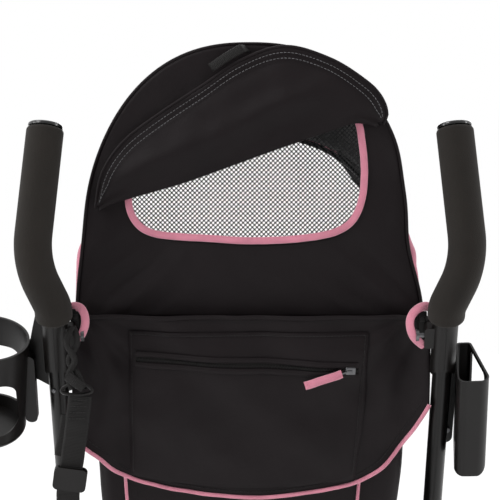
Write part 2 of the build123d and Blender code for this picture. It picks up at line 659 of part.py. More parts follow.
def window_mesh():
    """Mesh pane, just inside the window's opening."""
    pane = Pos(0, (WINDOW_LOW + WINDOW_HIGH) / 2) * RectangleRounded(
        2 * WINDOW_HALF - 0.6, WINDOW_HIGH - WINDOW_LOW - 0.6, 33.7
    )
    return extrude(rear_plane(0.5) * pane, 1.2)


def window_flap():
    """Window cover, thrown up over the top of the hood, with its hem uppermost."""
    low = [(-142, 122), (128, 206)]
    high = [(138, 216), (80, 260), (30, 283), (-20, 281), (-90, 235), (-142, 176)]
    outline = make_face(Polyline(*low, *high, close=True))
    return extrude(rear_plane(CLOTH + 0.5) * outline, 6)


FRONT_LOW = (290.0, 600.0)


def front_surround():
    """Cloth from the front bow down to the tub's front, with the large opening that the pet goes through."""
    low_r = math.hypot(FRONT_LOW[0] - HOOD_Y, FRONT_LOW[1] - HOOD_Z)
    low_t = math.degrees(math.atan2(FRONT_LOW[0] - HOOD_Y, FRONT_LOW[1] - HOOD_Z))
    spans = [(FRONT_BOW_T + 0.4, HOOD_A, HOOD_B, HOOD_N), (76.0, 164.0, 306.0, 3.2), (low_t - 0.6, 152.0, low_r, 6.5)]

    def body(inset, foot, more):
        faces = [
            arch_face(a - inset, b - inset, n, t + more * (k - 1), foot) for k, (t, a, b, n) in enumerate(spans)
        ]
        return loft(faces)

    shell = body(0, 24, 0) - body(CLOTH, 14, 1.5)
    top, low = fan_point(0, HOOD_B, FRONT_BOW_T), Vector(0, *FRONT_LOW)
    slope = (low - top).normalized()
    middle = (top + low) * 0.5
    plane = Plane(origin=middle, x_dir=(1, 0, 0), z_dir=Vector(0, -slope.Z, slope.Y))
    length = (low - top).length
    top, low = length / 2 - 8, 60 - length / 2
    corners = [(-84, top), (84, top), (134, 110), (134, low), (-134, low), (-134, 110)]
    opening = Polygon(*corners, align=None)
    opening = fillet(opening.vertices(), 26)
    if plane.y_dir.dot(slope) > 0:
        opening = mirror(opening, about=Plane.XZ)
    return shell - extrude(plane * opening, 130, both=True)


def tub_block(profile, inset):
    """The tub's side profile run across its width, which narrows towards the floor."""
    top, low = TUB_TOP_HALF - inset, TUB_FLOOR_HALF - inset
    top_z, low_z = TUB_PROFILE[0][1], TUB_PROFILE[3][1]
    over = 80.0  # run past both ends at the same slope
    more = (top - low) / (top_z - low_z) * over
    upper, lower = (top + more, top_z + over), (low - more, low_z - over)
    across = [upper, (-upper[0], upper[1]), (-lower[0], lower[1]), lower]
    side = extrude(Plane.YZ * make_face(Polyline(*profile, close=True)), TUB_TOP_HALF + 40, both=True)
    whole = side & extrude(Plane.XZ * make_face(Polyline(*across, close=True)), 600, both=True)
    front = whole.faces().sort_by(Axis.Y)[-1]
    uprights = [edge for edge in front.edges() if abs(edge.tangent_at(0.5).X) < 0.5]
    return fillet(uprights, TUB_CORNER_R - inset)


def tub():
    """Cabin below the hood: floor, back, front and sides in one shell, open along its top."""
    walls = [(-236, 914), (-211.8, 829), (-166.8, 650), (-118.2, 480.3), (260.2, 472.3), (287.8, 600), (336, 823)]
    return tub_block(TUB_PROFILE, 0) - tub_block(walls, CLOTH)


PAD_T = 30.0
PANEL_OUTLINE = [(171, 831.5), (174, 748), (150, 700), (110, 668)]


def pocket_panel():
    """Back panel hung between the collars, with a curved hem, following the tub's back."""
    slab = make_face(Polyline((-216.6, 834), (-170.0, 648), (-174.2, 647), (-220.8, 833), close=True))
    slab = extrude(Plane.YZ * slab, 200, both=True)
    right = [Vector(x, 0, z) for x, z in PANEL_OUTLINE]
    left = [Vector(-v.X, 0, v.Z) for v in reversed(right)]
    hem = ThreePointArc(right[-1], Vector(0, 0, 655), left[0])
    edge = Polyline(*left[0:], *right)
    return slab & extrude(make_face([edge, hem]), 400, both=True)


def pad():
    """Quilted mattress on the tub's floor."""
    slope = math.atan2(TUB_PROFILE[2][1] - TUB_PROFILE[3][1], TUB_PROFILE[3][0] - TUB_PROFILE[2][0])
    up = Vector(0, math.sin(slope), math.cos(slope))
    floor = Vector(0, (TUB_PROFILE[2][0] + TUB_PROFILE[3][0]) / 2, (TUB_PROFILE[2][1] + TUB_PROFILE[3][1]) / 2)
    base = block(frame_at(floor + up * (CLOTH + 0.5 + PAD_T / 2), up), 2 * TUB_FLOOR_HALF - 8, 358, PAD_T, 30)
    return fillet(base.faces().sort_by(Axis.Z)[-1].edges(), 10)


BOW_R, BOW_INSET, BOW_FOOT = 2.6, 6.0, 18.0


def arc_path(points):
    """Straight runs joined by arcs that are as large as the two runs beside each corner allow."""
    radii = []
    for before, corner, after in zip(points, points[1:], points[2:]):
        turn = math.radians((corner - before).get_angle(after - corner))
        shorter = min((corner - before).length, (after - corner).length)
        radii.append(0.45 * shorter / math.tan(turn / 2))
    return FilletPolyline(*points, radius=radii)


def arch_height(across, half, height, power):
    """Height of the hood's arch at a distance from its middle."""
    return height * (1 - (across / half) ** power) ** (1 / power)


def bow_foot_way(tilt, offset):
    """From the hood's axis to a bow's foot."""
    a = math.radians(tilt)
    return fan_point(0, BOW_FOOT, tilt) - fan_point(0, 0, 0) + Vector(0, math.cos(a), -math.sin(a)) * offset


def bow(tilt, offset):
    """Sprung rod, bent to the hood's arch just inside the cloth; offset is forward from the arch's plane."""
    half, height = HOOD_A - BOW_INSET, HOOD_B - BOW_INSET
    right = [(half, BOW_FOOT), (half - 1, 90)]
    right += [(x, arch_height(x, half, height, HOOD_N)) for x in (149, 122, 78, 27)]
    route = right + [(-x, r) for x, r in reversed(right)]
    forward = bow_foot_way(tilt, offset) - bow_foot_way(tilt, 0)
    path = arc_path([fan_point(x, r, tilt) + forward for x, r in route])
    return sweep(Plane(origin=path @ 0, z_dir=path % 0) * Circle(BOW_R), path=path)


BOWS = [(REAR_BOW_T, 4.5), (FRONT_BOW_T, -4.5)]


def hood_bows():
    """The two bows, and on each side a hub on the hood's axis with a socket for each bow's foot."""
    bows = [bow(tilt, offset) for tilt, offset in BOWS]
    middle = Vector(HOOD_A - BOW_INSET, HOOD_Y, HOOD_Z)
    hub = rod(middle - Vector(3, 0, 0), middle + Vector(3, 0, 0), 8)
    for tilt, offset in BOWS:
        hub += rod(middle, middle + bow_foot_way(tilt, offset), BOW_R + 0.9)
    return bows[0] + bows[1] + hub + mirror(hub, about=Plane.YZ)


ZIP_START, ZIP_END = Vector(-110, 0, 788), Vector(104, 0, 780)


def zip_track():
    """Zip tape and coil across the pocket panel."""
    y_mid = -219.6
    plane = Plane(origin=(0, y_mid, 784), x_dir=ZIP_END - ZIP_START, z_dir=(0, -1, -0.2))
    return block(plane, (ZIP_END - ZIP_START).length, 5, 2.0)


def zip_slider():
    """Slider on the coil, at the closed end, with the ribbon that pulls it."""
    body = Plane(origin=Vector(100, -223.6, 780.4), x_dir=(1, 0, -0.04), z_dir=(0, -1, -0.25))
    ribbon = Plane(origin=Vector(76, -226.2, 772), x_dir=(1, 0, 0.30), z_dir=(0, -1, -0.25))
    return block(body, 11, 8, 3.6, 2) + block(ribbon, 44, 9, 1.8, 1)


# ---------------------------------------------------------------- left carry strap

STRAP_RUN = [(-162, -264, 758), (-165, -260, 732), (-178, -229, 650), (-181, -200, 606), (-181, -150, 552)]
STRAP_W, STRAP_T = 24.0, 2.0


def carry_strap():
    """Webbing that hangs from the left collar down to the side tube."""
    path = arc_path([Vector(*point) for point in STRAP_RUN])
    section = Plane(origin=path @ 0, x_dir=(1, 0, 0), z_dir=path % 0) * Rectangle(STRAP_W, STRAP_T)
    return sweep(section, path=path)


def strap_buckle():
    """Ladder-lock slider on the strap."""
    high, low = Vector(*STRAP_RUN[1]), Vector(*STRAP_RUN[2])
    along = (low - high).normalized()
    across = Vector(1, 0, 0) - along * along.X
    plane = Plane(origin=low + (high - low) * 0.32, x_dir=across, z_dir=across.cross(along))
    frame = block(plane, 32, 24, 7, 5)
    return frame - block(plane, STRAP_W + 1.6, 60, STRAP_T + 1.6)


def strap_ring():
    """Snap hook and ring that hang the strap from the left collar."""
    top = Vector(*STRAP_RUN[0]) + Vector(0, 0, 6.6)
    hook_eye = top + Vector(-7, 2, 34)
    link = RectangleRounded(34, 9, 4) - RectangleRounded(28, 4, 1.9)
    ring = Plane(origin=top, x_dir=(1, 0, 0), z_dir=(0, 1, 0)) * link
    body = extrude(ring, 1.8, both=True) + rod(top + Vector(0, 0, 3.5), hook_eye - Vector(0, 0, 7), 3.2)
    loop = Plane(origin=hook_eye, x_dir=(1, 0, 0), z_dir=(0, 1, 0)) * (Circle(8.5) - Circle(5.2))
    return body + extrude(loop, 2.2, both=True)


def strap_anchor():
    """Ring band round the left side tube that holds the strap's foot."""
    foot = Vector(*STRAP_RUN[-1])
    s = (COLLAR_Z - foot.Z) / -DOWN_SIDE.Z - 14
    band = rod(side_point(s - 9), side_point(s + 9), 12.5)
    band += block(frame_at(side_point(s, 19, x=HALF_TRACK - 6), DOWN_SIDE), 26, 18, 16, 3)
    band -= rod(side_point(s - 20), side_point(s + 20), TUBE_R)
    return mirror(band, about=Plane.YZ)


def corner_loop():
    """Ribbon loop that buttons the cabin's corner over the collar's stud."""
    stud = side_point(STUD_S, x=HALF_TRACK - 22.5)
    plane = Plane(origin=stud + Vector(0, -6.5, 8), x_dir=BEHIND_SIDE, z_dir=Vector(1, 0, 0))
    return extrude(plane * (Ellipse(16, 21) - Ellipse(13.5, 18.5)), 2.2, both=True)


# ---------------------------------------------------------------- build


def build():
    keep_pair("side_tube", side_tube)
    keep_pair("foam_grip", foam_grip)
    keep_pair("grip_cap", grip_cap)
    keep_pair("handle_collar", handle_collar)
    loops = both_sides(corner_loop)
    keep("corner_loops", loops["right"] + loops["left"])
    clamps = both_sides(lambda: leg_bracket() + link_lug())
    keep("tube_clamps_right", clamps["right"])
    keep("tube_clamps_left", clamps["left"] + strap_anchor())
    rivets = both_sides(lambda: leg_hinge_pin() + collar_stud())
    keep("frame_rivets_right", rivets["right"] + bag_bolt())
    keep("frame_rivets_left", rivets["left"] + mirror(tube_rivet(), about=Plane.YZ))
    keep_pair("front_socket", lambda: front_socket() + lock_ears())
    keep_pair("rear_leg", rear_leg)
    keep("leg_sleeve_right", sleeve_with_ear(-1, True))
    keep("leg_sleeve_left", sleeve_with_ear(1, False))
    keep("cross_bar_a", cross_bar(1, True))
    keep("cross_bar_b", cross_bar(-1, False))
    keep("cross_pin", cross_pin())
    keep_pair("side_link", side_link)
    keep_pair("caster_fork", caster_fork)
    keep_pair("front_axle", front_axle)
    keep_pair("swivel_lock", swivel_lock)
    keep_pair("front_tyre", lambda: tyre(FRONT_AXLE))
    keep_pair("front_hub", lambda: wheel_hub(FRONT_AXLE))
    rear_wheel = Vector(REAR_WHEEL_X, REAR_AXLE.Y, REAR_AXLE.Z)
    housings = both_sides(lambda: rear_housing() + brake_ears())
    keep("leg_fittings_right", housings["right"] + brace_bracket(1, True))
    keep("leg_fittings_left", housings["left"] + brace_bracket(-1, False))
    keep_pair("rear_axle", rear_axle)
    keep_pair("brake_pedal", brake_pedal)
    keep_pair("rear_tyre", lambda: tyre(rear_wheel))
    keep_pair("rear_hub", lambda: wheel_hub(rear_wheel))
    keep("cup_holder", cup_holder())
    keep("cup_bracket", cup_bracket())
    keep("bag_holder", bag_holder())
    keep("bag_bracket", bag_bracket())
    keep("cabin_tub", tub())
    keep("front_surround", front_surround())
    keep("hood_top", hood())
    keep("hood_bows", hood_bows())
    keep("rear_panel", rear_panel())
    keep("window_mesh", window_mesh())
    keep("window_flap", window_flap())
    keep("pocket_panel", pocket_panel() + zip_track())
    keep("floor_pad", pad())
    keep("zip_slider", zip_slider())
    keep("carry_strap", carry_strap())
    keep("strap_fittings", strap_buckle() + strap_ring())


def export():
    os.makedirs("parts", exist_ok=True)
    for name, shape in PARTS.items():
        export_step(Pos(*ORIGIN_SHIFT) * shape, f"parts/{name}.step")


if __name__ == "__main__":
    build()
    export()
    print(len(PARTS), "nodes")
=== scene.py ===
"""Looks of an umbrella-fold pet stroller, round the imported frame: cloth cabin, hood, ribbons, webbing, materials.

Lengths in this script are millimetres in the stroller's own frame: x from its middle plane, y forward,
z up from the floor. at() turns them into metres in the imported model's frame.
"""
import json
import math

import bmesh
import bpy
from mathutils import Matrix, Vector, noise


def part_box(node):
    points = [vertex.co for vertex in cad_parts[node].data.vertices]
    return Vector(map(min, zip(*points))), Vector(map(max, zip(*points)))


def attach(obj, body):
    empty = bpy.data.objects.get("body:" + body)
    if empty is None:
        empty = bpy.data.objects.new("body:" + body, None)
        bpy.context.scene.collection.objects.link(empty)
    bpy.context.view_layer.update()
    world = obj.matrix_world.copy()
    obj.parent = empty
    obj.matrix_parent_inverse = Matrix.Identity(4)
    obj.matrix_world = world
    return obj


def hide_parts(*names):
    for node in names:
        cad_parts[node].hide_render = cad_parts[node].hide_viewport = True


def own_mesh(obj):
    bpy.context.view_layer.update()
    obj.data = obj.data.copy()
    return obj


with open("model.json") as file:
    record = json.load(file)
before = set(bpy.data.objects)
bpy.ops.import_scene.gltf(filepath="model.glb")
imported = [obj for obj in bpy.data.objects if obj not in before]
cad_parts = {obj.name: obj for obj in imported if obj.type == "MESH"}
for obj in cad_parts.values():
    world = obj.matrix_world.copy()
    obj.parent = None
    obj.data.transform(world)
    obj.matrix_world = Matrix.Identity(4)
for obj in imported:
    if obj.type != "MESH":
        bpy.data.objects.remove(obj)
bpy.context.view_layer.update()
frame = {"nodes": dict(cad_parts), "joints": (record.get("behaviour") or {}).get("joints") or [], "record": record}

# ---------------------------------------------------------------- the frame's own places
JOINTS = {joint["name"]: joint for joint in frame["joints"]}
HOOD_PIVOT = Vector(JOINTS["hood_tilt"]["pos_m"]) * 1000
HOOD_Y, HOOD_Z = -202.0, HOOD_PIVOT.z  # the hood's axis in this script's frame
TUB_LOW, TUB_HIGH = (Vector(corner) * 1000 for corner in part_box("cabin_tub"))
ORIGIN = Vector(((TUB_LOW.x + TUB_HIGH.x) / 2, HOOD_PIVOT.y - HOOD_Y, 0))
UP, BACK = Vector((0, 0, 1)), Vector((0, -1, 0))


def at(x, y, z):
    """A point of this script's frame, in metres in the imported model's."""
    return (Vector((x, y, z)) + ORIGIN) / 1000


# ---------------------------------------------------------------- node helpers
WAVE_TURN = 0.31831  # wave textures repeat after pi units, so this makes Scale count turns


def new_material(name):
    material = bpy.data.materials.new(name)
    material.use_nodes = True
    return material, material.node_tree, material.node_tree.nodes["Principled BSDF"]


def node(tree, kind, **settings):
    made = tree.nodes.new(kind)
    for key, value in settings.items():
        if key in made.inputs:
            made.inputs[key].default_value = value
        else:
            setattr(made, key, value)
    return made


def coords(tree, kind):
    return node(tree, "ShaderNodeTexCoord").outputs[kind]


def texture(tree, place, kind, output="Fac", **settings):
    """One output of a procedural texture, laid on the given coordinates."""
    made = node(tree, "ShaderNodeTex" + kind, **settings)
    tree.links.new(place, made.inputs["Vector"])
    return made.outputs[output]


def math_node(tree, operation, first, second=None, clamp=False):
    made = tree.nodes.new("ShaderNodeMath")
    made.operation = operation
    made.use_clamp = clamp
    for socket, value in zip(made.inputs, (first, second)):
        if hasattr(value, "links"):
            tree.links.new(value, socket)
        elif value is not None:
            socket.default_value = value
    return made.outputs[0]


def plus(tree, first, second, clamp=False):
    return math_node(tree, "ADD", first, second, clamp)


def times(tree, first, second):
    return math_node(tree, "MULTIPLY", first, second)


def shade(base, factor):
    return tuple(min(1, c * factor) for c in base)


def ramp_colour(tree, shader, source, stops):
    """Base colour from a ramp of (position, colour) stops, fed by a socket."""
    ramp = tree.nodes.new("ShaderNodeValToRGB")
    elements = ramp.color_ramp.elements
    while len(elements) < len(stops):
        elements.new(0.5)
    for element, (position, colour) in zip(elements, stops):
        element.position = position
        element.color = (*colour, 1)
    tree.links.new(source, ramp.inputs["Fac"])
    tree.links.new(ramp.outputs["Color"], shader.inputs["Base Color"])


def ramp_roughness(tree, shader, source, low, high):
    spread = node(tree, "ShaderNodeMapRange")
    spread.inputs["To Min"].default_value = low
    spread.inputs["To Max"].default_value = high
    tree.links.new(source, spread.inputs["Value"])
    tree.links.new(spread.outputs["Result"], shader.inputs["Roughness"])


def set_sockets(shader, values):
    for name, value in values.items():
        shader.inputs[name].default_value = value


def bump_stack(tree, shader, layers):
    """Chains bump nodes: each layer is (height socket, strength, distance in metres)."""
    normal = None
    for height, strength, distance in layers:
        bump = node(tree, "ShaderNodeBump", Strength=strength, Distance=distance)
        tree.links.new(height, bump.inputs["Height"])
        if normal:
            tree.links.new(normal, bump.inputs["Normal"])
        normal = bump.outputs["Normal"]
    tree.links.new(normal, shader.inputs["Normal"])


# ---------------------------------------------------------------- camera, light and stage
VIEW_DISTANCE, VIEW_HEIGHT, LENS = 2030.0, 897.0, 133.5
LIGHT_AIM = Vector((0, 0, 0.8))
LIGHTS = {  # place, size and watts
    "key": ((-1.5, -1.2, 2.4), (0.9, 0.9), 34),
    "left_strip": ((-2.3, -0.6, 1.0), (0.5, 1.8), 16),
    "right_strip": ((2.3, -0.5, 1.1), (0.5, 1.8), 18),
    "front": ((0.6, 2.6, 1.6), (1.8, 1.4), 30),
}
TENT_TOP, TENT_SIDE, TENT_AHEAD, TENT_DIM = 1.25, 0.75, 0.5, 0.07
FLOOR_REACH = 14.0


def make_camera():
    camera = bpy.data.objects.new("camera", bpy.data.cameras.new("camera"))
    bpy.context.collection.objects.link(camera)
    camera.data.lens = LENS
    camera.data.sensor_width = 36
    camera.data.clip_end = 50
    camera.location = at(0, -VIEW_DISTANCE, VIEW_HEIGHT)
    camera.rotation_euler = (math.radians(90), 0, 0)
    bpy.context.scene.camera = camera


def make_lights():
    bpy.context.scene.view_settings.view_transform = "Standard"
    for name, (place, size, watts) in LIGHTS.items():
        light = bpy.data.lights.new(name, "AREA")
        light.shape = "RECTANGLE"
        light.size, light.size_y = size
        light.energy = watts
        lamp = bpy.data.objects.new(name, light)
        bpy.context.collection.objects.link(lamp)
        lamp.location = place
        lamp.rotation_euler = (LIGHT_AIM - Vector(place)).to_track_quat("-Z", "Y").to_euler()


def make_world():
    """White behind the object; round it a tent, dim behind the camera and bright above and at the sides."""
    world = bpy.data.worlds.new("studio")
    world.use_nodes = True
    tree = world.node_tree
    way = node(tree, "ShaderNodeSeparateXYZ")
    tree.links.new(coords(tree, "Generated"), way.inputs["Vector"])
    over = times(tree, math_node(tree, "MAXIMUM", way.outputs["Z"], 0.0), TENT_TOP)
    cube = math_node(tree, "POWER", math_node(tree, "ABSOLUTE", way.outputs["X"]), 3.0)
    ahead = times(tree, math_node(tree, "MAXIMUM", way.outputs["Y"], 0.0), TENT_AHEAD)
    level = plus(tree, plus(tree, over, times(tree, cube, TENT_SIDE)), plus(tree, ahead, TENT_DIM))
    sight = node(tree, "ShaderNodeLightPath").outputs["Is Camera Ray"]
    bright = tree.nodes["Background"]
    tree.links.new(math_node(tree, "MAXIMUM", level, sight), bright.inputs["Strength"])
    bright.inputs["Color"].default_value = (1, 1, 1, 1)
    bpy.context.scene.world = world


def make_stage():
    """Pale paper floor."""
    material, tree, shader = new_material("studio_paper")
    fibre = texture(tree, coords(tree, "Object"), "Noise", Scale=60.0, Detail=4.0)
    ramp_colour(tree, shader, fibre, [(0.3, (0.93, 0.93, 0.93)), (0.7, (0.96, 0.96, 0.96))])
    set_sockets(shader, {"Roughness": 0.9})
    r = FLOOR_REACH
    mesh = bpy.data.meshes.new("floor")
    mesh.from_pydata([(-r, -r, 0), (r, -r, 0), (r, r, 0), (-r, r, 0)], [], [(0, 1, 2, 3)])
    mesh.materials.append(material)
    new_object("floor", mesh)


# ---------------------------------------------------------------- materials
def woven(name, base, thread_mm, roughness, sheen):
    """Plain-woven cloth: crossed threads from the piece's own UV, in metres, with slubs and a soft mottling."""
    material, tree, shader = new_material(name)
    uv, place = coords(tree, "UV"), coords(tree, "Object")
    turns = 1000 / (2 * thread_mm) * WAVE_TURN
    warp, weft = (texture(tree, uv, "Wave", Scale=turns, Distortion=0.0, bands_direction=way) for way in "XY")
    gaps = [math_node(tree, "SUBTRACT", 1.0, wave) for wave in (warp, weft)]
    weave = plus(tree, times(tree, warp, weft), times(tree, *gaps))
    slub = texture(tree, uv, "Noise", Scale=420.0, Detail=3.0, Roughness=0.6)
    mottle = texture(tree, place, "Noise", Scale=14.0, Detail=4.0, Roughness=0.55)
    crease = texture(tree, place, "Noise", Scale=26.0, Detail=5.0, Roughness=0.6)
    mixed = plus(tree, times(tree, weave, 0.5), times(tree, slub, 0.3))
    mixed = plus(tree, mixed, times(tree, mottle, 0.4), clamp=True)
    ramp_colour(tree, shader, mixed, [(0.25, shade(base, 0.65)), (0.85, shade(base, 1.35))])
    ramp_roughness(tree, shader, slub, roughness - 0.08, roughness + 0.08)
    set_sockets(shader, {"Sheen Weight": sheen, "Sheen Roughness": 0.35, "Sheen Tint": (0.8, 0.8, 0.85, 1),
                         "Specular IOR Level": 0.12})
    bump_stack(tree, shader, [(crease, 0.55, 0.0024), (slub, 0.2, 0.0002), (weave, 0.6, 0.00018)])
    return material


def ribbed_ribbon(name, base, rib_mm, roughness, sheen):
    """Grosgrain or webbing: ribs across the ribbon, finer threads along it, darker in the grooves as painted shade
    and lighter on the rib crowns as painted highlight.
    """
    material, tree, shader = new_material(name)
    uv = coords(tree, "UV")
    ribs = texture(tree, uv, "Wave", Scale=1000 / rib_mm * WAVE_TURN, bands_direction="X")
    threads = texture(tree, uv, "Wave", Scale=1000 / 0.8 * WAVE_TURN, bands_direction="Y", Distortion=0.6)
    fuzz = texture(tree, uv, "Noise", Scale=300.0, Detail=4.0, Roughness=0.65)
    cloudy = texture(tree, uv, "Noise", Scale=45.0, Detail=3.0)
    weave = times(tree, ribs, plus(tree, threads, 0.5))
    mixed = plus(tree, times(tree, weave, 0.4), times(tree, cloudy, 0.6))
    # colour follows the ribs' relief, with painted shade in the grooves and painted highlight on the crowns, over a
    # random cloudy tone
    ramp_colour(tree, shader, mixed, [(0.1, shade(base, 0.62)), (0.55, base), (0.95, shade(base, 1.25))])
    set_sockets(shader, {"Roughness": roughness, "Specular IOR Level": 0.2, "Sheen Weight": sheen,
                         "Sheen Roughness": 0.4})
    bump_stack(tree, shader, [(fuzz, 0.25, 0.0002), (weave, 0.7, 0.0004)])
    return material


def moulded(name, base, roughness, grain, coat=0.0, specular=0.3):
    """Moulded plastic or painted metal: fine grain, faint flow marks and scuffed patches."""
    material, tree, shader = new_material(name)
    place = coords(tree, "Object")
    fine = texture(tree, place, "Noise", Scale=2600.0, Detail=2.0)
    broad = texture(tree, place, "Noise", Scale=38.0, Detail=2.0, Roughness=0.5)
    scuff = texture(tree, place, "Noise", Scale=160.0, Detail=6.0, Roughness=0.7)
    ramp_colour(tree, shader, broad, [(0.3, shade(base, 0.86)), (0.7, shade(base, 1.16))])
    ramp_roughness(tree, shader, scuff, max(0.05, roughness - 0.07), roughness + 0.09)
    set_sockets(shader, {"Specular IOR Level": specular, "Coat Weight": coat, "Coat Roughness": 0.18})
    bump_stack(tree, shader, [(broad, 0.05, 0.0008), (fine, grain, 0.00005)])
    return material


def foam(name, base):
    """Closed-cell foam: matte, with pinhole cells and slightly paler rubbed patches."""
    material, tree, shader = new_material(name)
    place = coords(tree, "Object")
    cells = texture(tree, place, "Voronoi", "Distance", Scale=900.0)
    fine = texture(tree, place, "Noise", Scale=1500.0, Detail=4.0, Roughness=0.7)
    rubbed = texture(tree, place, "Noise", Scale=22.0, Detail=5.0, Roughness=0.6)
    mixed = plus(tree, times(tree, rubbed, 0.7), times(tree, fine, 0.3))
    ramp_colour(tree, shader, mixed, [(0.3, shade(base, 0.78)), (0.75, shade(base, 1.28))])
    set_sockets(shader, {"Roughness": 0.88, "Specular IOR Level": 0.2, "Sheen Weight": 0.04})
    bump_stack(tree, shader, [(cells, 0.5, 0.0004), (fine, 0.35, 0.0003)])
    return material


def metal(name, base, roughness):
    """Plated steel with fine draw marks and a little dulling."""
    material, tree, shader = new_material(name)
    place = coords(tree, "Object")
    marks = texture(tree, place, "Noise", Scale=700.0, Detail=4.0)
    dull = texture(tree, place, "Noise", Scale=90.0, Detail=5.0)
    ramp_colour(tree, shader, dull, [(0.3, shade(base, 0.75)), (0.7, shade(base, 1.1))])
    ramp_roughness(tree, shader, dull, roughness - 0.08, roughness + 0.15)
    set_sockets(shader, {"Metallic": 1.0})
    bump_stack(tree, shader, [(marks, 0.12, 0.0001)])
    return material


MATERIALS = {
    "cloth": woven("black_cloth", (0.0062, 0.0042, 0.0048), 0.6, 0.54, sheen=0.02),
    "quilt": woven("quilt_cloth", (0.045, 0.045, 0.05), 0.6, 0.8, sheen=0.1),
    "net": ribbed_ribbon("net_yarn", (0.004, 0.004, 0.0045), 0.8, 0.6, 0.1),
    "pink": ribbed_ribbon("pink_ribbon", (0.60, 0.215, 0.29), 0.9, 0.72, 0.45),
    "webbing": ribbed_ribbon("black_webbing", (0.0034, 0.0027, 0.0025), 1.6, 0.55, 0.02),
    "thread": ribbed_ribbon("grey_thread", (0.13, 0.13, 0.135), 0.5, 0.6, 0.1),
    "black_thread": ribbed_ribbon("black_thread", (0.015, 0.014, 0.014), 0.5, 0.6, 0.05),
    "foam": foam("grip_foam", (0.0108, 0.0088, 0.0072)),
    "paint": moulded("frame_paint", (0.003, 0.0026, 0.0025), 0.3, grain=0.02, coat=0.06, specular=0.18),
    "plastic": moulded("black_plastic", (0.0036, 0.0029, 0.0027), 0.36, grain=0.16, specular=0.22),
    "gloss": moulded("gloss_plastic", (0.005, 0.005, 0.005), 0.2, grain=0.02, coat=0.5),
    "grey_plastic": moulded("lever_plastic", (0.045, 0.045, 0.047), 0.48, grain=0.2),
    "wheel_plastic": moulded("wheel_plastic", (0.018, 0.018, 0.019), 0.45, grain=0.18),
    "tyre": foam("tyre_foam", (0.011, 0.011, 0.011)),
    "zinc": metal("zinc_steel", (0.62, 0.62, 0.63), 0.3),
    "gunmetal": metal("gunmetal", (0.12, 0.12, 0.125), 0.33),
}
SLOT_MATERIALS = {
    "frame_paint": "paint", "brace_steel": "paint", "grip_foam": "foam", "gloss_cap": "gloss",
    "black_plastic": "plastic", "lever_plastic": "grey_plastic", "wheel_plastic": "wheel_plastic",
    "bow_plastic": "plastic", "tyre_foam": "tyre", "zinc_steel": "zinc", "gunmetal": "gunmetal",
    "body_cloth": "cloth", "pad_cloth": "quilt", "window_net": "net", "pink_ribbon": "pink",
    "webbing": "webbing",
}


def paint_cad_nodes():
    """Gives every CAD node its procedural material, by the record's slot."""
    slots = {part["node"]: part["material_slot"] for part in frame["record"]["subparts"]}
    for name, obj in frame["nodes"].items():
        obj.data.materials.clear()
        obj.data.materials.append(MATERIALS[SLOT_MATERIALS[slots[name]]])


# ---------------------------------------------------------------- pieces and meshes
def new_object(name, mesh):
    made = bpy.data.objects.new(name, mesh)
    bpy.context.collection.objects.link(made)
    return made


def finish(piece, material, body, squash=True, stands_for=(), smooth=True, slot=None):
    """Makes an object a piece of the stroller: its material, its body, and a mesh of its own."""
    mesh = piece.data
    mesh.materials.clear()
    mesh.materials.append(MATERIALS[material])
    if smooth:
        mesh.polygons.foreach_set("use_smooth", [True] * len(mesh.polygons))
    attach(piece, body)
    if squash:
        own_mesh(piece)
    if stands_for:
        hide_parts(*stands_for)
    return piece


def mesh_of(bm, name, metric=True):
    """Turns a bmesh of closed pieces into a mesh with outward faces, and metric UVs if asked for."""
    mesh = bpy.data.meshes.new(name)
    bmesh.ops.recalc_face_normals(bm, faces=bm.faces)
    bm.to_mesh(mesh)
    bm.free()
    if metric:
        box_uvs(mesh)
    return mesh


def box_uvs(mesh):
    """Metric UVs by each face's main direction."""
    layer = mesh.uv_layers.get("UVMap") or mesh.uv_layers.new(name="UVMap")
    for face in mesh.polygons:
        main = max(range(3), key=lambda k: abs(face.normal[k]))
        first, second = [k for k in range(3) if k != main]
        for loop in face.loop_indices:
            co = mesh.vertices[mesh.loops[loop].vertex_index].co
            layer.data[loop].uv = (co[first], co[second])


def row_mesh(name, rows, faces, spots):
    """A mesh over rows of points in this script's frame, with one (u, v) spot for each face corner."""
    mesh = bpy.data.meshes.new(name)
    mesh.from_pydata([at(*p) for row in rows for p in row], [], faces)
    layer = mesh.uv_layers.new(name="UVMap")
    layer.data.foreach_set("uv", [value for spot in spots for value in spot])
    return mesh


def grid_uvs(rows, wrap):
    """Arc-length (u, v) in metres over rows of points, with one extra column if wrapped."""
    middle = rows[len(rows) // 2]
    ring = middle + middle[:1] if wrap else middle
    us = [0.0]
    for a, b in zip(ring, ring[1:]):
        us.append(us[-1] + (b - a).length / 1000)
    vs = [0.0]
    for upper, lower in zip(rows, rows[1:]):
        mean = sum((b - a).length for a, b in zip(upper, lower)) / len(upper)
        vs.append(vs[-1] + mean / 1000)
    return [[(u, v) for u in us] for v in vs]


def thicken(mesh, thickness):
    """Gives an open sheet two faces and closed edges, growing away from its outer face."""
    bm = bmesh.new()
    bm.from_mesh(mesh)
    bmesh.ops.recalc_face_normals(bm, faces=bm.faces)
    bmesh.ops.solidify(bm, geom=bm.faces[:], thickness=thickness / 1000)
    bm.to_mesh(mesh)
    bm.free()


def run_length(points):
    return sum((b - a).length for a, b in zip(points, points[1:]))


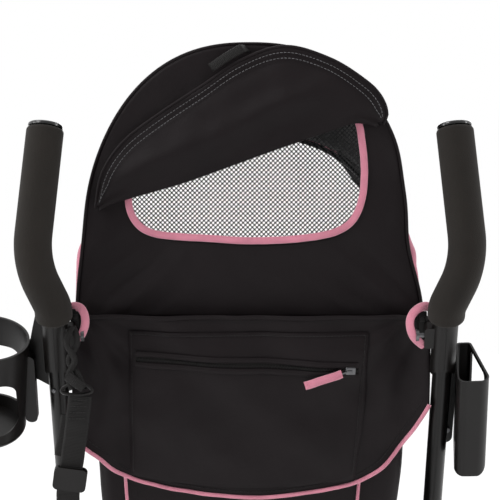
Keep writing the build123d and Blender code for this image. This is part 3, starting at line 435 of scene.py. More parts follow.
def cloth(name, body, rows, thickness=1.2, wrap=False, flat=None, stands_for=()):
    """A sheet of cloth over rows of points, with its flat size along its own threads worked out."""
    cols = len(rows[0])
    faces, spots = [], []
    uvs = grid_uvs(rows, wrap)
    for r in range(len(rows) - 1):
        for c in range(cols if wrap else cols - 1):
            after = (c + 1) % cols
            faces.append((r * cols + c, r * cols + after, (r + 1) * cols + after, (r + 1) * cols + c))
            spots += [uvs[r][c], uvs[r][c + 1], uvs[r + 1][c + 1], uvs[r + 1][c]]
    mesh = row_mesh(name, rows, faces, spots)
    thicken(mesh, thickness)
    piece = finish(new_object(name, mesh), "cloth", body, stands_for=stands_for)
    if wrap:
        rows = [row + row[:1] for row in rows]
    border = [run_length(column) for column in zip(*rows)]
    round_it = [run_length(row) for row in rows]
    if flat == "frame":  # a border round a hole: its mean way round, and its mean width
        flat = (sum(round_it) / len(round_it), sum(border[:-1]) / (len(border) - 1))


# ---------------------------------------------------------------- paths, ribbons, cords and stitches
def resample(dense, count, closed=False):
    """count points at equal distances along a polyline."""
    lengths = [0.0]
    for a, b in zip(dense, dense[1:]):
        lengths.append(lengths[-1] + (b - a).length)
    out = []
    k = 0
    for step in range(count):
        goal = lengths[-1] * step / (count if closed else count - 1)
        while k < len(lengths) - 2 and lengths[k + 1] < goal:
            k += 1
        span = lengths[k + 1] - lengths[k]
        share = (goal - lengths[k]) / span if span else 0
        out.append(dense[k].lerp(dense[k + 1], min(1, share)))
    return out


def smooth_path(points, count, closed=False):
    """Evenly spaced points on a Catmull-Rom curve through a few given ones."""
    points = [Vector(p).to_3d() for p in points]
    dense = []
    total = len(points)
    for k in range(total if closed else total - 1):
        if closed:
            a, b, c, d = (points[(k + j) % total] for j in (-1, 0, 1, 2))
        else:
            a, b, c, d = (points[min(max(k + j, 0), total - 1)] for j in (-1, 0, 1, 2))
        for step in range(24):
            t = step / 24
            square, cube = (2 * a - 5 * b + 4 * c - d) * t**2, (3 * b - a - 3 * c + d) * t**3
            dense.append(0.5 * ((2 * b) + (c - a) * t + square + cube))
    dense.append(points[0].copy() if closed else points[-1].copy())
    return resample(dense, count, closed)


def path_frames(points, facing, closed=False):
    """(point, along, across, out) at each point; facing is the way out there, or a function of the point."""
    frames = []
    total = len(points)
    for k, p in enumerate(points):
        before = points[(k - 1) % total] if closed else points[max(k - 1, 0)]
        after = points[(k + 1) % total] if closed else points[min(k + 1, total - 1)]
        along = (after - before).normalized()
        out = (facing(p) if callable(facing) else facing).normalized()
        across = out.cross(along).normalized()
        frames.append((p, along, across, along.cross(across).normalized()))
    return frames


def tube(name, rows, closed):
    """A mesh through rings of points, with flat caps unless it is closed; U runs along it and V round it."""
    if closed:
        rows = rows + [rows[0][:]]
    cols = len(rows[0])
    uvs = grid_uvs(rows, True)
    faces, spots = [], []
    for r in range(len(rows) - 1):
        for c in range(cols):
            after = (c + 1) % cols
            faces.append((r * cols + c, (r + 1) * cols + c, (r + 1) * cols + after, r * cols + after))
            corners = (uvs[r][c], uvs[r + 1][c], uvs[r + 1][c + 1], uvs[r][c + 1])
            spots += [(v, u) for u, v in corners]
    if not closed:
        for ring in (0, len(rows) - 1):
            face = [ring * cols + c for c in range(cols)]
            faces.append(face if ring else face[::-1])
            spots += [(0, 0)] * cols
    mesh = row_mesh(name, rows, faces, spots)
    if closed:
        bm = bmesh.new()
        bm.from_mesh(mesh)
        bmesh.ops.remove_doubles(bm, verts=bm.verts, dist=1e-6)
        bm.to_mesh(mesh)
        bm.free()
    return mesh


def ribbon(name, material, body, points, facing, width, thick, closed=False, lift=0.0, crown=0.3, ripple=0.0,
           seed=0.0, **kw):
    """A soft flat ribbon along a path: an eight-sided section, crowned, with its edges rounded and rippled."""
    half, t = width / 2, thick / 2
    section = [(-half, 0), (-half * 0.8, t), (0, t * (1 + crown)), (half * 0.8, t),
               (half, 0), (half * 0.8, -t), (0, -t), (-half * 0.8, -t)]
    rows = []
    for p, _, across, out in path_frames(points, facing, closed):
        wave = ripple * noise.noise(p * 0.09 + Vector((seed, 0, 0)))
        rows.append([p + across * (x + wave * 0.6) + out * (y + lift + wave) for x, y in section])
    finish(new_object(name, tube(name, rows, closed)), material, body, **kw)


def cord(name, material, body, points, facing, radius, closed=False, sides=10, **kw):
    """A round cord or piping along a path."""
    turns = [2 * math.pi * side / sides for side in range(sides)]
    rows = [[p + across * (radius * math.cos(a)) + out * (radius * math.sin(a)) for a in turns]
            for p, _, across, out in path_frames(points, facing, closed)]
    finish(new_object(name, tube(name, rows, closed)), material, body, **kw)


def stitches(name, material, body, points, facing, stitch, gap, radius, lift, **kw):
    """A line of sewing: short rounded dashes that dip into the cloth at each end."""
    count = max(2, int(run_length(points) / (stitch + gap)))
    frames = path_frames(resample(points, count * 4 + 1), facing)
    bm = bmesh.new()
    for k in range(count):
        rings = []
        for j, sink in enumerate((-0.5, 0.6, 0.8, -0.5)):
            p, along, across, out = frames[k * 4 + j]
            p = p - along * (gap * 0.35 * (1 if j == 3 else 0))
            centre = p + out * (lift + sink * radius)
            turns = [math.radians(a + 45) for a in (0, 90, 180, 270)]
            ring = [centre + across * (radius * math.cos(r)) + out * (radius * math.sin(r)) for r in turns]
            rings.append([bm.verts.new(at(*q)) for q in ring])
        for a, b in zip(rings, rings[1:]):
            for c in range(4):
                bm.faces.new((a[c], b[c], b[(c + 1) % 4], a[(c + 1) % 4]))
        bm.faces.new(rings[0][::-1])
        bm.faces.new(rings[-1])
    finish(new_object(name, mesh_of(bm, name)), material, body, **kw)


def net(name, surface, inside, width, height, pitch=4.5, strand=0.51, **kw):
    """A knitted net: diamonds with rounded holes. surface maps (x, y) to space; inside says where it is."""
    bm = bmesh.new()
    corners = {}
    half = pitch / 2
    tips = [(half, 0), (0, half), (-half, 0), (0, -half)]
    hole = [(dx * strand * 1.28, dy * strand * 1.28) for dx, dy in tips]
    outer, inner = [], []
    for k in range(4):
        (ax, ay), (bx, by) = tips[k], tips[(k + 1) % 4]
        outer += [(ax, ay), ((ax + bx) / 2, (ay + by) / 2)]
        (ax, ay), (bx, by) = hole[k], hole[(k + 1) % 4]
        inner += [(ax, ay), ((ax + bx) / 2 * 1.12, (ay + by) / 2 * 1.12)]

    def vertex(x, y):
        key = (round(x, 3), round(y, 3))
        if key not in corners:
            corners[key] = bm.verts.new(at(*surface(x, y)))
        return corners[key]

    rows, cols = int(height / half) + 2, int(width / pitch) + 2
    for r in range(-rows // 2, rows // 2 + 1):
        for c in range(-cols // 2, cols // 2 + 1):
            x, y = c * pitch + (half if r % 2 else 0), r * half
            if not inside(x, y):
                continue
            ring = [vertex(x + dx, y + dy) for dx, dy in outer]
            core = [bm.verts.new(at(*surface(x + dx, y + dy))) for dx, dy in inner]
            for k in range(8):
                bm.faces.new((ring[k], ring[(k + 1) % 8], core[(k + 1) % 8], core[k]))
    mesh = bpy.data.meshes.new(name)
    bm.to_mesh(mesh)
    bm.free()
    thicken(mesh, 0.5)
    box_uvs(mesh)
    finish(new_object(name, mesh), "net", "hood", smooth=False, **kw)


def ease(value):
    """Smooth step from 0 to 1."""
    value = min(1.0, max(0.0, value))
    return value * value * (3 - 2 * value)


def ruck(p, scale, seed):
    """Smooth wrinkle height, about -1 to 1, at a point."""
    return noise.noise(Vector(p) * scale + Vector((seed, seed * 1.7, -seed)))


# ---------------------------------------------------------------- the hood's shape
REAR_TILT, FRONT_TILT = -5.0, 42.0
HOOD_HALF, HOOD_HIGH, HOOD_POWER, HOOD_FOOT = 170.0, 283.0, 2.4, 17.6
REAR_OUT = Vector((0, -math.cos(math.radians(REAR_TILT)), math.sin(math.radians(REAR_TILT))))


def fan(x, radius, tilt):
    """Point at a radius from the hood's axis, tilted forward of vertical."""
    a = math.radians(tilt)
    return Vector((x, HOOD_Y + radius * math.sin(a), HOOD_Z + radius * math.cos(a)))


def slack(x, up):
    """How far the cloth falls in from the bow's true arch at its sides, more on the right than on the left."""
    low, middle = math.exp(-(((up - 90) / 45) ** 2)), math.exp(-(((up - 150) / 32) ** 2))
    sunk = 12.5 * low + 5.0 * middle if x > 0 else 3.5 * low
    return math.copysign(sunk * ease((abs(x) - 50) / 70), x)


def arch(count, grow=0.0):
    """Evenly spaced (across, up) points over the hood's arch, from its left foot to its right one."""
    half, height = HOOD_HALF + grow, HOOD_HIGH + grow
    dense = []
    for k in range(161):
        a = math.pi * k / 160
        c, s = math.cos(a), math.sin(a)
        across = -half * math.copysign(abs(c) ** (2 / HOOD_POWER), c)
        up = HOOD_FOOT + (height - HOOD_FOOT) * s ** (2 / HOOD_POWER)
        dense.append(Vector((across - slack(across, up), up, 0)))
    return [(p.x, p.y) for p in resample(dense, count)]


def rear_point(x, up, out=0.0):
    """Point on the rear wall: x across, up from the hood's axis, out to the rear."""
    return fan(x, up, REAR_TILT) + REAR_OUT * out


def make_hood_top():
    """The hood's shell between the bows: taut over each, sunk a little between them, creased at its sides."""
    first = REAR_TILT + 0.6
    rows = []
    for k in range(29):
        share = k / 28
        tilt = first + (FRONT_TILT - REAR_TILT - 0.6) * share
        sink = math.sin(math.pi * share) ** 2
        row = []
        for n, (x, up) in enumerate(arch(121)):
            side = abs(n / 60 - 1)
            p = fan(x, up, tilt)
            inward = Vector((-x, 0, 0)) * 0.6 + fan(0, 0, 0) - fan(0, up, tilt)
            inward.normalize()
            dip = sink * (4.5 + 3.0 * ruck(p, 0.012, 3.0))
            dip += 2.2 * ease((side - 0.45) * 3) * max(0, math.sin(share * 19 + 3 * ruck(p, 0.01, 9.0)))
            row.append(p + inward * dip)
        rows.append(row)
    cloth("hood_top_cloth", "hood", rows, stands_for=["hood_top"])


# ---------------------------------------------------------------- rear wall, window and its cover
WINDOW = [(-121, 138), (-117, 113), (-96, 97), (-45, 92), (5, 89), (53, 92), (89, 100), (107.5, 118),
          (114.5, 150), (112, 190), (103, 214), (60, 222), (0, 206), (-60, 180), (-106, 158)]
WINDOW_MIDDLE = Vector((0, 168, 0))
WALL_MIDDLE = Vector((0, 150, 0))


def window_edge(count, inset=0.0):
    """The window's outline on the rear wall, in (across, up), run evenly round it."""
    return [p + (WINDOW_MIDDLE - p).normalized() * inset for p in smooth_path(WINDOW, count, closed=True)]


def wall_bulge(x, up):
    """How far the rear wall stands out at a place, in millimetres."""
    crown = 7 * math.cos(min(1, abs(x) / 175) * math.pi / 2) * math.sin(min(1, max(0, up - 15) / 270) * math.pi)
    p = Vector((x, up, 0))
    pull = 3.2 * ruck(p, 0.016, 5.0) + 1.6 * ruck(p, 0.04, 2.0)
    corner = 1 - ease((up - 25) / 85)
    drop = x * 1.0 + (up - 60) * (0.9 if x > 0 else -0.9) + 14 * ruck(p, 0.012, 1.0)
    pleat = 4.2 * corner * ease((abs(x) - 35) / 80) * math.sin(drop * 0.13) ** 3
    pleat += 1.6 * ease((abs(x) - 95) / 40) * math.sin((up + 0.5 * abs(x)) * 0.085)
    return crown + pull + pleat


def make_rear_wall():
    """The rear wall, from the window's edge out to the arch and down to the seam over the pocket panel."""
    def turn(p):
        return math.atan2(p.y - WALL_MIDDLE.y, p.x - WALL_MIDDLE.x)

    outline = [Vector((x, up, 0)) for x, up in arch(400, -0.5)]
    outline += [Vector((170 - 340 * k / 120, HOOD_FOOT - 1.5, 0)) for k in range(1, 120)]
    turns = [turn(p) for p in outline]
    rows = [[] for _ in range(25)]
    for p in window_edge(200):
        angle = turn(p)
        best = min(range(len(outline)), key=lambda k: abs(math.remainder(turns[k] - angle, 2 * math.pi)))
        for k, row in enumerate(rows):
            q = p.lerp(outline[best], k / 24)
            fade = math.sin(min(1, 1.6 - 1.6 * k / 24) * math.pi / 2)
            row.append(rear_point(q.x, q.y, wall_bulge(q.x, q.y) * fade))
    cloth("rear_wall_cloth", "hood", rows, wrap=True,
          flat=(2 * HOOD_HALF, HOOD_HIGH - HOOD_FOOT + 10), stands_for=["rear_panel"])


def make_window():
    """Net pane over the window and the pink ribbon bound round its edge."""
    edge = window_edge(180, inset=-1.0)

    def inside(x, y):
        up = y + WINDOW_MIDDLE.y
        hits = 0
        for a, b in zip(edge, edge[1:] + edge[:1]):
            if (a.y > up) != (b.y > up) and x < (b.x - a.x) * (up - a.y) / (b.y - a.y) + a.x:
                hits += 1
        return hits % 2 == 1

    def pane(x, y):
        up = y + WINDOW_MIDDLE.y
        return rear_point(x, up, wall_bulge(x, up) - 0.6)

    net("window_net", pane, inside, 260, 176, stands_for=["window_mesh"])
    path = [rear_point(p.x, p.y, wall_bulge(p.x, p.y) + 0.5) for p in window_edge(220, inset=3.0)]
    ribbon("window_binding", "pink", "hood", path, REAR_OUT, 7.2, 1.6, closed=True, lift=0.6, ripple=0.5)


FLAP_OUT = 15.0
FLAP_COLS = 80
FLAP_FOLD = smooth_path([(-148, 121), (-124, 131), (-60, 150), (20, 179), (80, 199.5), (100, 206), (113, 205.5),
                         (124, 202.5)], FLAP_COLS + 1)
FLAP_HEM = smooth_path([(-151, 124), (-144, 158), (-123, 189), (-88, 216), (-48, 242), (-8, 268), (34, 281),
                        (78, 269), (112, 248), (127, 233), (133.5, 217), (130, 206)], FLAP_COLS + 1)


def flap_point(u, v):
    """Point on the cover: u along it from left to right, v from its fold up to its hem."""
    k = u * FLAP_COLS
    low, high = (line[int(k)].lerp(line[min(int(k) + 1, FLAP_COLS)], k % 1) for line in (FLAP_FOLD, FLAP_HEM))
    p = low.lerp(high, v)
    ends = math.sin(math.pi * min(1, max(0, u))) ** 0.35
    belly = FLAP_OUT * (0.55 + 0.45 * math.sin(math.pi * min(1, v * 1.15))) * ends
    rest = wall_bulge(p.x, p.y) * 0.8
    soft = 2.0 * ruck(p, 0.014, 7.0) + 0.8 * ruck(p, 0.035, 1.0)
    drape = 2.4 * math.sin((p.x * 0.5 - p.y) * 0.11 + 1.5 * ruck(p, 0.012, 4.0)) * ease(1.4 - 1.6 * v)
    return rear_point(p.x, p.y, rest + belly + (soft + drape) * ends + 3.0)


def flap_row(v):
    return [flap_point(n / FLAP_COLS, v) for n in range(FLAP_COLS + 1)]


def make_window_cover():
    """The window's cover, thrown up over the hood: folded along its foot, twice stitched round its hem."""
    foot = flap_row(0)
    fold = []
    for k in range(9):
        turn = math.pi * k / 8
        row = []
        for n, p in enumerate(foot):
            full = 0.25 + 0.75 * math.sin(math.pi * (n / FLAP_COLS)) ** 0.5
            p = p - REAR_OUT * full * (4.5 - 4.5 * math.cos(turn))
            row.append(p + UP * full * (4.0 - 4.0 * math.sin(turn)))
        fold.append(row)
    tuck = [[p + (q - low) for p, q, low in zip(fold[-1], flap_row(0.1 * k), foot)] for k in (3, 2, 1)]
    front = [[p + Vector((0, 0, 4.0 * (1 - k / 22))) for p in flap_row(k / 22)] for k in range(1, 23)]
    cloth("window_cover", "hood", tuck + fold[::-1] + front, thickness=1.4,
          stands_for=["window_flap"])
    hem = [flap_point(n / 120, 1.0) - REAR_OUT * 0.8 for n in range(121)]
    cord("cover_hem", "cloth", "hood", hem, REAR_OUT, 1.5)
    for k, inset in enumerate((6.0, 11.5)):
        line = []
        for n in range(3, 118):
            p, q = flap_point(n / 120, 1.0), flap_point(n / 120, 0.6)
            line.append(p.lerp(q, min(0.9, inset / max(1, (q - p).length))))
        stitches(f"cover_stitch_{k}", "thread", "hood", line, REAR_OUT, 2.6, 1.0, 0.4, 1.0)


def make_cover_tab():
    """Webbing tab sewn on the hood's top, which holds the rolled cover."""
    foot, tip = rear_point(-36, 263, 13), rear_point(-8, 279, 13)
    corners = [foot - Vector((2, 0, 3)), foot.lerp(tip, 0.5) + REAR_OUT * 1.5, tip, tip + Vector((5, 12, 1))]
    ribbon("cover_tab", "webbing", "hood", resample(corners, 24), REAR_OUT + Vector((0, 0, 0.3)), 9.5, 1.8,
           crown=0.1)


# ---------------------------------------------------------------- front of the cabin
FLOOR_BACK, FLOOR_FRONT = Vector((0, -120, 478)), Vector((0, 262, 470))
RIM_BACK, RIM_FRONT = Vector((0, -203, 829)), Vector((0, 290, 600))
TUB_TOP_HALF, TUB_FLOOR_HALF = 160.0, 132.0
FRONT_EDGE_TILT = math.degrees(math.atan2(RIM_FRONT.y - HOOD_Y, RIM_FRONT.z - HOOD_Z))
OPENING_FOOT, OPENING_ROUND = 0.86, 0.08
FRONT_START = 0.004  # where the front cloth begins along the arch
NET_MIDDLE = (0.50, 0.56)


def front_section(tilt):
    """(half width, height, power) of the front cloth's arch at a tilt; its ridge is straight, slightly full."""
    ends = fan(0, HOOD_HIGH, FRONT_TILT), RIM_FRONT
    rel_top, rel_low = (Vector((p.y - HOOD_Y, p.z - HOOD_Z)) for p in ends)
    slope = (rel_low - rel_top).normalized()
    square = Vector((-slope.y, slope.x))
    square = square if square.x > 0 else -square
    share = (tilt - FRONT_TILT) / (FRONT_EDGE_TILT - FRONT_TILT)
    way = Vector((math.sin(math.radians(tilt)), math.cos(math.radians(tilt))))
    radius = rel_top.dot(square) / way.dot(square)
    full = 6 * math.sin(math.pi * share)
    half = HOOD_HALF + (150 - HOOD_HALF) * share + 4 * math.sin(math.pi * share)
    return half, radius + full, 2.4 + 4.0 * share**1.5


def front_point(share, along):
    """share from the front bow down to the tub's front; along from the left foot over to the right one."""
    tilt = FRONT_TILT + (FRONT_EDGE_TILT - 0.8 - FRONT_TILT) * share
    half, high, power = front_section(tilt)
    a = math.pi * along
    c, s = math.cos(a), math.sin(a)
    x = -half * math.copysign(abs(c) ** (2 / power), c)
    up = HOOD_FOOT + 2 + (high - HOOD_FOOT - 2) * max(0.0, s) ** (2 / power)
    return fan(x, up, tilt)


def along_for_half(share, half_open):
    """Where the arch first comes in to a given half width."""
    low, high = 0.02, 0.5
    for _ in range(24):
        middle = (low + high) / 2
        if -front_point(share, middle).x > half_open:
            low = middle
        else:
            high = middle
    return low


def opening_half(share, side="left"):
    """Half width of the front opening on the way down: rounded at its foot, narrower at its top right."""
    top, more = (94, 44) if side == "right" else (124, 16)
    wide = top + more * ease(share / 0.2)
    start = OPENING_FOOT - OPENING_ROUND
    if share > start:
        reach = (share - start) / OPENING_ROUND
        wide -= 46 * (1 - math.sqrt(max(0, 1 - min(1, reach) ** 2)))
    return wide


def make_front_side(side):
    """One side of the front cloth: a solid border round a net window bound in pink."""
    sign = 1 if side == "left" else -1
    width, height = 330.0, 200.0
    around = 140

    def place(p, q):
        share = OPENING_FOOT * p
        reach = along_for_half(share, opening_half(share, side))
        point = front_point(share, FRONT_START + (reach - FRONT_START) * q)
        soft = 1.6 * ruck(point, 0.02, 4.0) * math.sin(math.pi * q)
        middle = Vector((0, point.y, point.z))
        point = point + (point - middle).normalized() * soft
        return Vector((point.x * sign, point.y, point.z))

    def hole(turn, grow=0.0):
        """Rounded window outline in (p, q)."""
        c, s = math.cos(turn), math.sin(turn)
        p = NET_MIDDLE[0] + (0.34 + grow) * math.copysign(abs(c) ** 0.55, c)
        q = NET_MIDDLE[1] + (0.27 + grow) * math.copysign(abs(s) ** 0.6, s)
        return p, q

    def rim(turn):
        c, s = math.cos(turn), math.sin(turn)
        big = max(abs(c), abs(s))
        return 0.5 + 0.5 * c / big, 0.5 + 0.5 * s / big

    def inside(x, y):
        return abs(x / width / 0.345) ** 3.4 + abs(y / height / 0.275) ** 3.2 < 1

    rows = [[] for _ in range(13)]
    for k, row in enumerate(rows):
        for n in range(around):
            turn = 2 * math.pi * n / around
            (ap, aq), (bp, bq) = hole(turn), rim(turn)
            row.append(place(ap + (bp - ap) * (k / 12), aq + (bq - aq) * (k / 12)))
    cloth(f"front_side_{side}", "hood", rows, wrap=True, flat="frame")
    net(f"side_net_{side}", lambda x, y: place(NET_MIDDLE[0] + x / width, NET_MIDDLE[1] + y / height), inside,
        width, height)
    path = [place(*hole(2 * math.pi * n / 150, 0.012)) for n in range(150)]
    out = Vector((-sign, 0.0, 0.15))
    ribbon(f"side_binding_{side}", "pink", "hood", path, out, 7.5, 1.5, closed=True, lift=0.9, ripple=0.6)
    edge = [place(n / 90, 1.0) for n in range(91)]
    ribbon(f"opening_binding_{side}", "cloth", "hood", edge, out, 8.0, 1.6, lift=0.4, ripple=0.5)


def make_front_apron():
    """The lower front, below the opening, down to the tub's front edge."""
    rows = [[] for _ in range(13)]
    for k, row in enumerate(rows):
        for n in range(121):
            p = front_point(OPENING_FOOT + 0.14 * k / 12, FRONT_START + 0.992 * n / 120)
            row.append(p + Vector((0, 1, 1)).normalized() * (1.3 * ruck(p, 0.03, 8.0)))
    cloth("front_apron", "hood", rows, stands_for=["front_surround"])
    reach = along_for_half(OPENING_FOOT, opening_half(OPENING_FOOT))
    lip = [front_point(OPENING_FOOT, reach + (1 - 2 * reach) * n / 90) for n in range(91)]
    ribbon("apron_binding", "pink", "hood", lip, Vector((0, 0.8, 0.6)), 8.0, 1.8, lift=0.6, ripple=0.6)


def make_hood_edges():
    """Pink binding along the hood's front edge and down both of its sides, and the bows' sewn channels."""
    def line(tilt, count, grow):
        return [fan(x, up, tilt) for x, up in arch(count, grow)]

    def outward(p):
        return Vector((p.x, p.y - HOOD_Y, p.z - HOOD_Z))

    ribbon("hood_front_binding", "pink", "hood", line(FRONT_TILT + 0.6, 160, 0.6), outward, 9.0, 2.4, lift=0.6,
           ripple=0.4)
    cord("hood_rear_seam", "cloth", "hood", line(REAR_TILT + 0.2, 160, 0.8), outward, 1.6)
    for tilt, name in ((REAR_TILT + 4.5, "rear"), (FRONT_TILT - 5.0, "front")):
        stitches(f"bow_stitch_{name}", "black_thread", "hood", line(tilt, 200, 0.2), outward, 3.0, 1.2, 0.35,
                 0.2)
    places = [(-200, 916), (-199, 896), (-198, 876), (-195, 858), (-189, 842), (-182, 830)]
    for sign, side, halves in ((1, "right", (151.5, 159.5, 162, 164, 167, 170)),
                               (-1, "left", (156, 166, 168, 168.5, 170, 171.5))):
        path = smooth_path([(sign * half, y, z) for half, (y, z) in zip(halves, places)], 90)

        def facing(p):
            return Vector((sign, -1.3 * ease((-170 - p.y) / 25), 0))

        ribbon(f"hood_side_binding_{side}", "pink", "hood", path, facing, 8.0, 1.8, lift=1.0, ripple=0.9,
               seed=sign)


def copy_bows():
    """The bows, as a mesh drawn in at its sides as far as the cloth falls in."""
    piece = bpy.data.objects.new("sprung_bows", frame["nodes"]["hood_bows"].data.copy())
    for v in piece.data.vertices:
        p = v.co * 1000 - ORIGIN
        v.co.x -= slack(p.x, math.hypot(p.y - HOOD_Y, p.z - HOOD_Z)) / 1000
    bpy.context.collection.objects.link(piece)
    finish(piece, "plastic", "hood", stands_for=["hood_bows"], smooth=False, slot="bow_plastic")


# ---------------------------------------------------------------- tub
def rounded_plan(count, back, front, half_back, half_front, corner):
    """Evenly spaced (x, y) points round a tub's plan, from the middle of its back, going right."""
    small = corner * 0.35
    behind, ahead = back + small, front - corner
    corners = ((half_back - small, behind, small, -90), (half_front - corner, ahead, corner, 0),
               (corner - half_front, ahead, corner, 90), (small - half_back, behind, small, 180))
    points = [Vector((0, back, 0))]
    for cx, cy, r, start in corners:
        for k in range(7):
            a = math.radians(start + 15 * k)
            points.append(Vector((cx + r * math.cos(a), cy + r * math.sin(a), 0)))
    return resample(points + [Vector((0, back, 0))], count, closed=True)


def rim_height(y):
    """Height of the tub's rim at a place along it."""
    y = min(max(y, RIM_BACK.y + 14), RIM_FRONT.y)
    return 812 + (600 - 812) * (y + 200) / 490


def make_tub():
    """The cabin's lower half: a soft box with full sides, drawn in at its rim and floor."""
    count, levels = 220, 30
    low = rounded_plan(count, FLOOR_BACK.y, FLOOR_FRONT.y, TUB_FLOOR_HALF, TUB_FLOOR_HALF, 38)
    high = rounded_plan(count, RIM_BACK.y, RIM_FRONT.y, TUB_TOP_HALF, 142, 40)
    run = FLOOR_FRONT - FLOOR_BACK
    wall = []
    for k in range(levels):
        share = k / (levels - 1)
        swell = math.sin(math.pi * share)
        row = []
        for a, b in zip(low, high):
            floor = FLOOR_BACK.z + run.z * (a.y - FLOOR_BACK.y) / run.y
            p = Vector((a.x, a.y, floor)).lerp(Vector((b.x, b.y, rim_height(b.y))), share)
            out = Vector((p.x / 150, (p.y - 40) / 230, 0))
            out = Vector((out.x**3, out.y**3, 0))
            full = out.normalized() * (4.0 * swell + 2.2 * ruck(p, 0.02, 2.0) * swell)
            if p.y < -100 and abs(p.x) < 120:
                full = Vector((0, 0.4, 0)) * swell
            row.append(p + full)
        wall.append(row)
    centre = (FLOOR_BACK + FLOOR_FRONT) / 2
    rows = [[centre.lerp(p, share) for p in wall[0]] for share in (0.06, 0.3, 0.6, 0.9)] + wall
    cloth("tub_cloth", "root", rows, thickness=1.6, wrap=True,
          stands_for=["cabin_tub"])
    cord("tub_rim_piping", "pink", "root", [p + Vector((0, 0, 0.5)) for p in wall[-1]], UP, 2.3, closed=True)
    cord("tub_floor_welt", "cloth", "root", wall[0], UP, 2.0, closed=True)
    for side, across in (("right", 107), ("left", -126)):
        level = wall[16]
        column = min(range(count), key=lambda c: abs(level[c].x - across) + (500 if level[c].y > -60 else 0))
        path = [row[column] + Vector((0, -1.2, 0)) for row in wall[1:] if row[column].z < 672]
        cord(f"tub_corner_piping_{side}", "pink", "root", path, BACK, 1.7)


PAD_HALF, PAD_THICK, PAD_BACK, PAD_FRONT, PAD_MIDDLE, PAD_CORNER = 124.0, 22.0, -102.0, 246.0, 72, 26
PAD_NX, PAD_NY = 40, 56
PAD_REST = 4  # how far the pad lies above the floor board
QUILT_PITCH = 46.0
FLOOR_SLOPE = (FLOOR_FRONT.z - FLOOR_BACK.z) / (FLOOR_FRONT.y - FLOOR_BACK.y)


def make_pad():
    """Quilted mattress: inflated by a cloth simulation, then sewn down along its channels."""
    bm = bmesh.new()
    reach_x, reach_y = PAD_HALF - PAD_CORNER, (PAD_FRONT - PAD_BACK) / 2 - PAD_CORNER
    lay = []
    for level in (0, 1):
        layer = []
        for j in range(PAD_NY + 1):
            for i in range(PAD_NX + 1):
                x, y = -PAD_HALF + 2 * PAD_HALF * i / PAD_NX, PAD_BACK + (PAD_FRONT - PAD_BACK) * j / PAD_NY
                corner_x, corner_y = max(0, abs(x) - reach_x), max(0, abs(y - PAD_MIDDLE) - reach_y)
                pull = math.hypot(corner_x, corner_y)
                if pull > PAD_CORNER:
                    x -= math.copysign((pull - PAD_CORNER) * corner_x / pull, x)
                    y -= math.copysign((pull - PAD_CORNER) * corner_y / pull, y - PAD_MIDDLE)
                z = FLOOR_BACK.z + FLOOR_SLOPE * (y - FLOOR_BACK.y) + PAD_REST + level * PAD_THICK
                layer.append(bm.verts.new(at(x, y, z)))
        lay.append(layer)
    for level, layer in enumerate(lay):
        for j in range(PAD_NY):
            for i in range(PAD_NX):
                a = j * (PAD_NX + 1) + i
                quad = [layer[a], layer[a + 1], layer[a + PAD_NX + 2], layer[a + PAD_NX + 1]]
                bm.faces.new(quad if level else quad[::-1])
    edge = [i for i in range(PAD_NX)] + [j * (PAD_NX + 1) + PAD_NX for j in range(PAD_NY)]
    edge += [PAD_NY * (PAD_NX + 1) + i for i in range(PAD_NX, 0, -1)]
    edge += [j * (PAD_NX + 1) for j in range(PAD_NY, 0, -1)]
    for a, b in zip(edge, edge[1:] + edge[:1]):
        bm.faces.new((lay[0][a], lay[0][b], lay[1][b], lay[1][a]))
    piece = new_object("quilted_pad", mesh_of(bm, "pad_cloth", metric=False))
    inflate(piece, 9.0)
    quilt(piece)
    box_uvs(piece.data)
    finish(piece, "quilt", "root", stands_for=["floor_pad"])


def inflate(piece, most):
    """Blows a closed mesh up by cloth pressure for a few frames; no point moves more than `most` millimetres."""
    remesh = piece.modifiers.new("remesh", "REMESH")
    remesh.mode = "VOXEL"
    remesh.voxel_size = 0.0055
    apply_modifier(piece, remesh.name)
    rest = [v.co.copy() for v in piece.data.vertices]
    blown = piece.modifiers.new("cloth", "CLOTH")
    blown.settings.use_pressure = True
    blown.settings.uniform_pressure_force = 4
    blown.settings.effector_weights.gravity = 0
    scene = bpy.context.scene
    for step in range(1, 21):
        scene.frame_set(step)
    apply_modifier(piece, blown.name)
    scene.frame_set(1)
    for v, start in zip(piece.data.vertices, rest):
        move = v.co - start
        if move.length > most / 1000:
            v.co = start + move.normalized() * (most / 1000)
    subdivide = piece.modifiers.new("finer", "SUBSURF")
    subdivide.levels = 1
    apply_modifier(piece, subdivide.name)


def apply_modifier(piece, name):
    bpy.context.view_layer.objects.active = piece
    for other in bpy.context.selected_objects:
        other.select_set(False)
    piece.select_set(True)
    bpy.ops.object.modifier_apply(modifier=name)


def quilt(piece):
    """Presses diamond quilting channels into the pad's top, and keeps the pad above the floor board."""
    for v in piece.data.vertices:
        p = v.co * 1000 - ORIGIN
        across, forward = p.x, p.y - PAD_MIDDLE
        turns = [(across + way * forward) / QUILT_PITCH for way in (1, -1)]
        dip = max(math.exp(-((abs(c - round(c)) * QUILT_PITCH / 3.2) ** 2)) for c in turns)
        edge = ease((118 - abs(across)) / 20) * ease((168 - abs(forward)) / 20)
        floor = FLOOR_BACK.z - 0.021 * (p.y - FLOOR_BACK.y) + PAD_REST
        share = ease((p.z - floor - 8) / 10)
        puff = 3.0 * (1 - dip) * edge * share
        p.z += puff - 5.0 * dip * edge * share
        p.z = max(p.z, floor - 0.5)
        v.co = (p + ORIGIN) / 1000


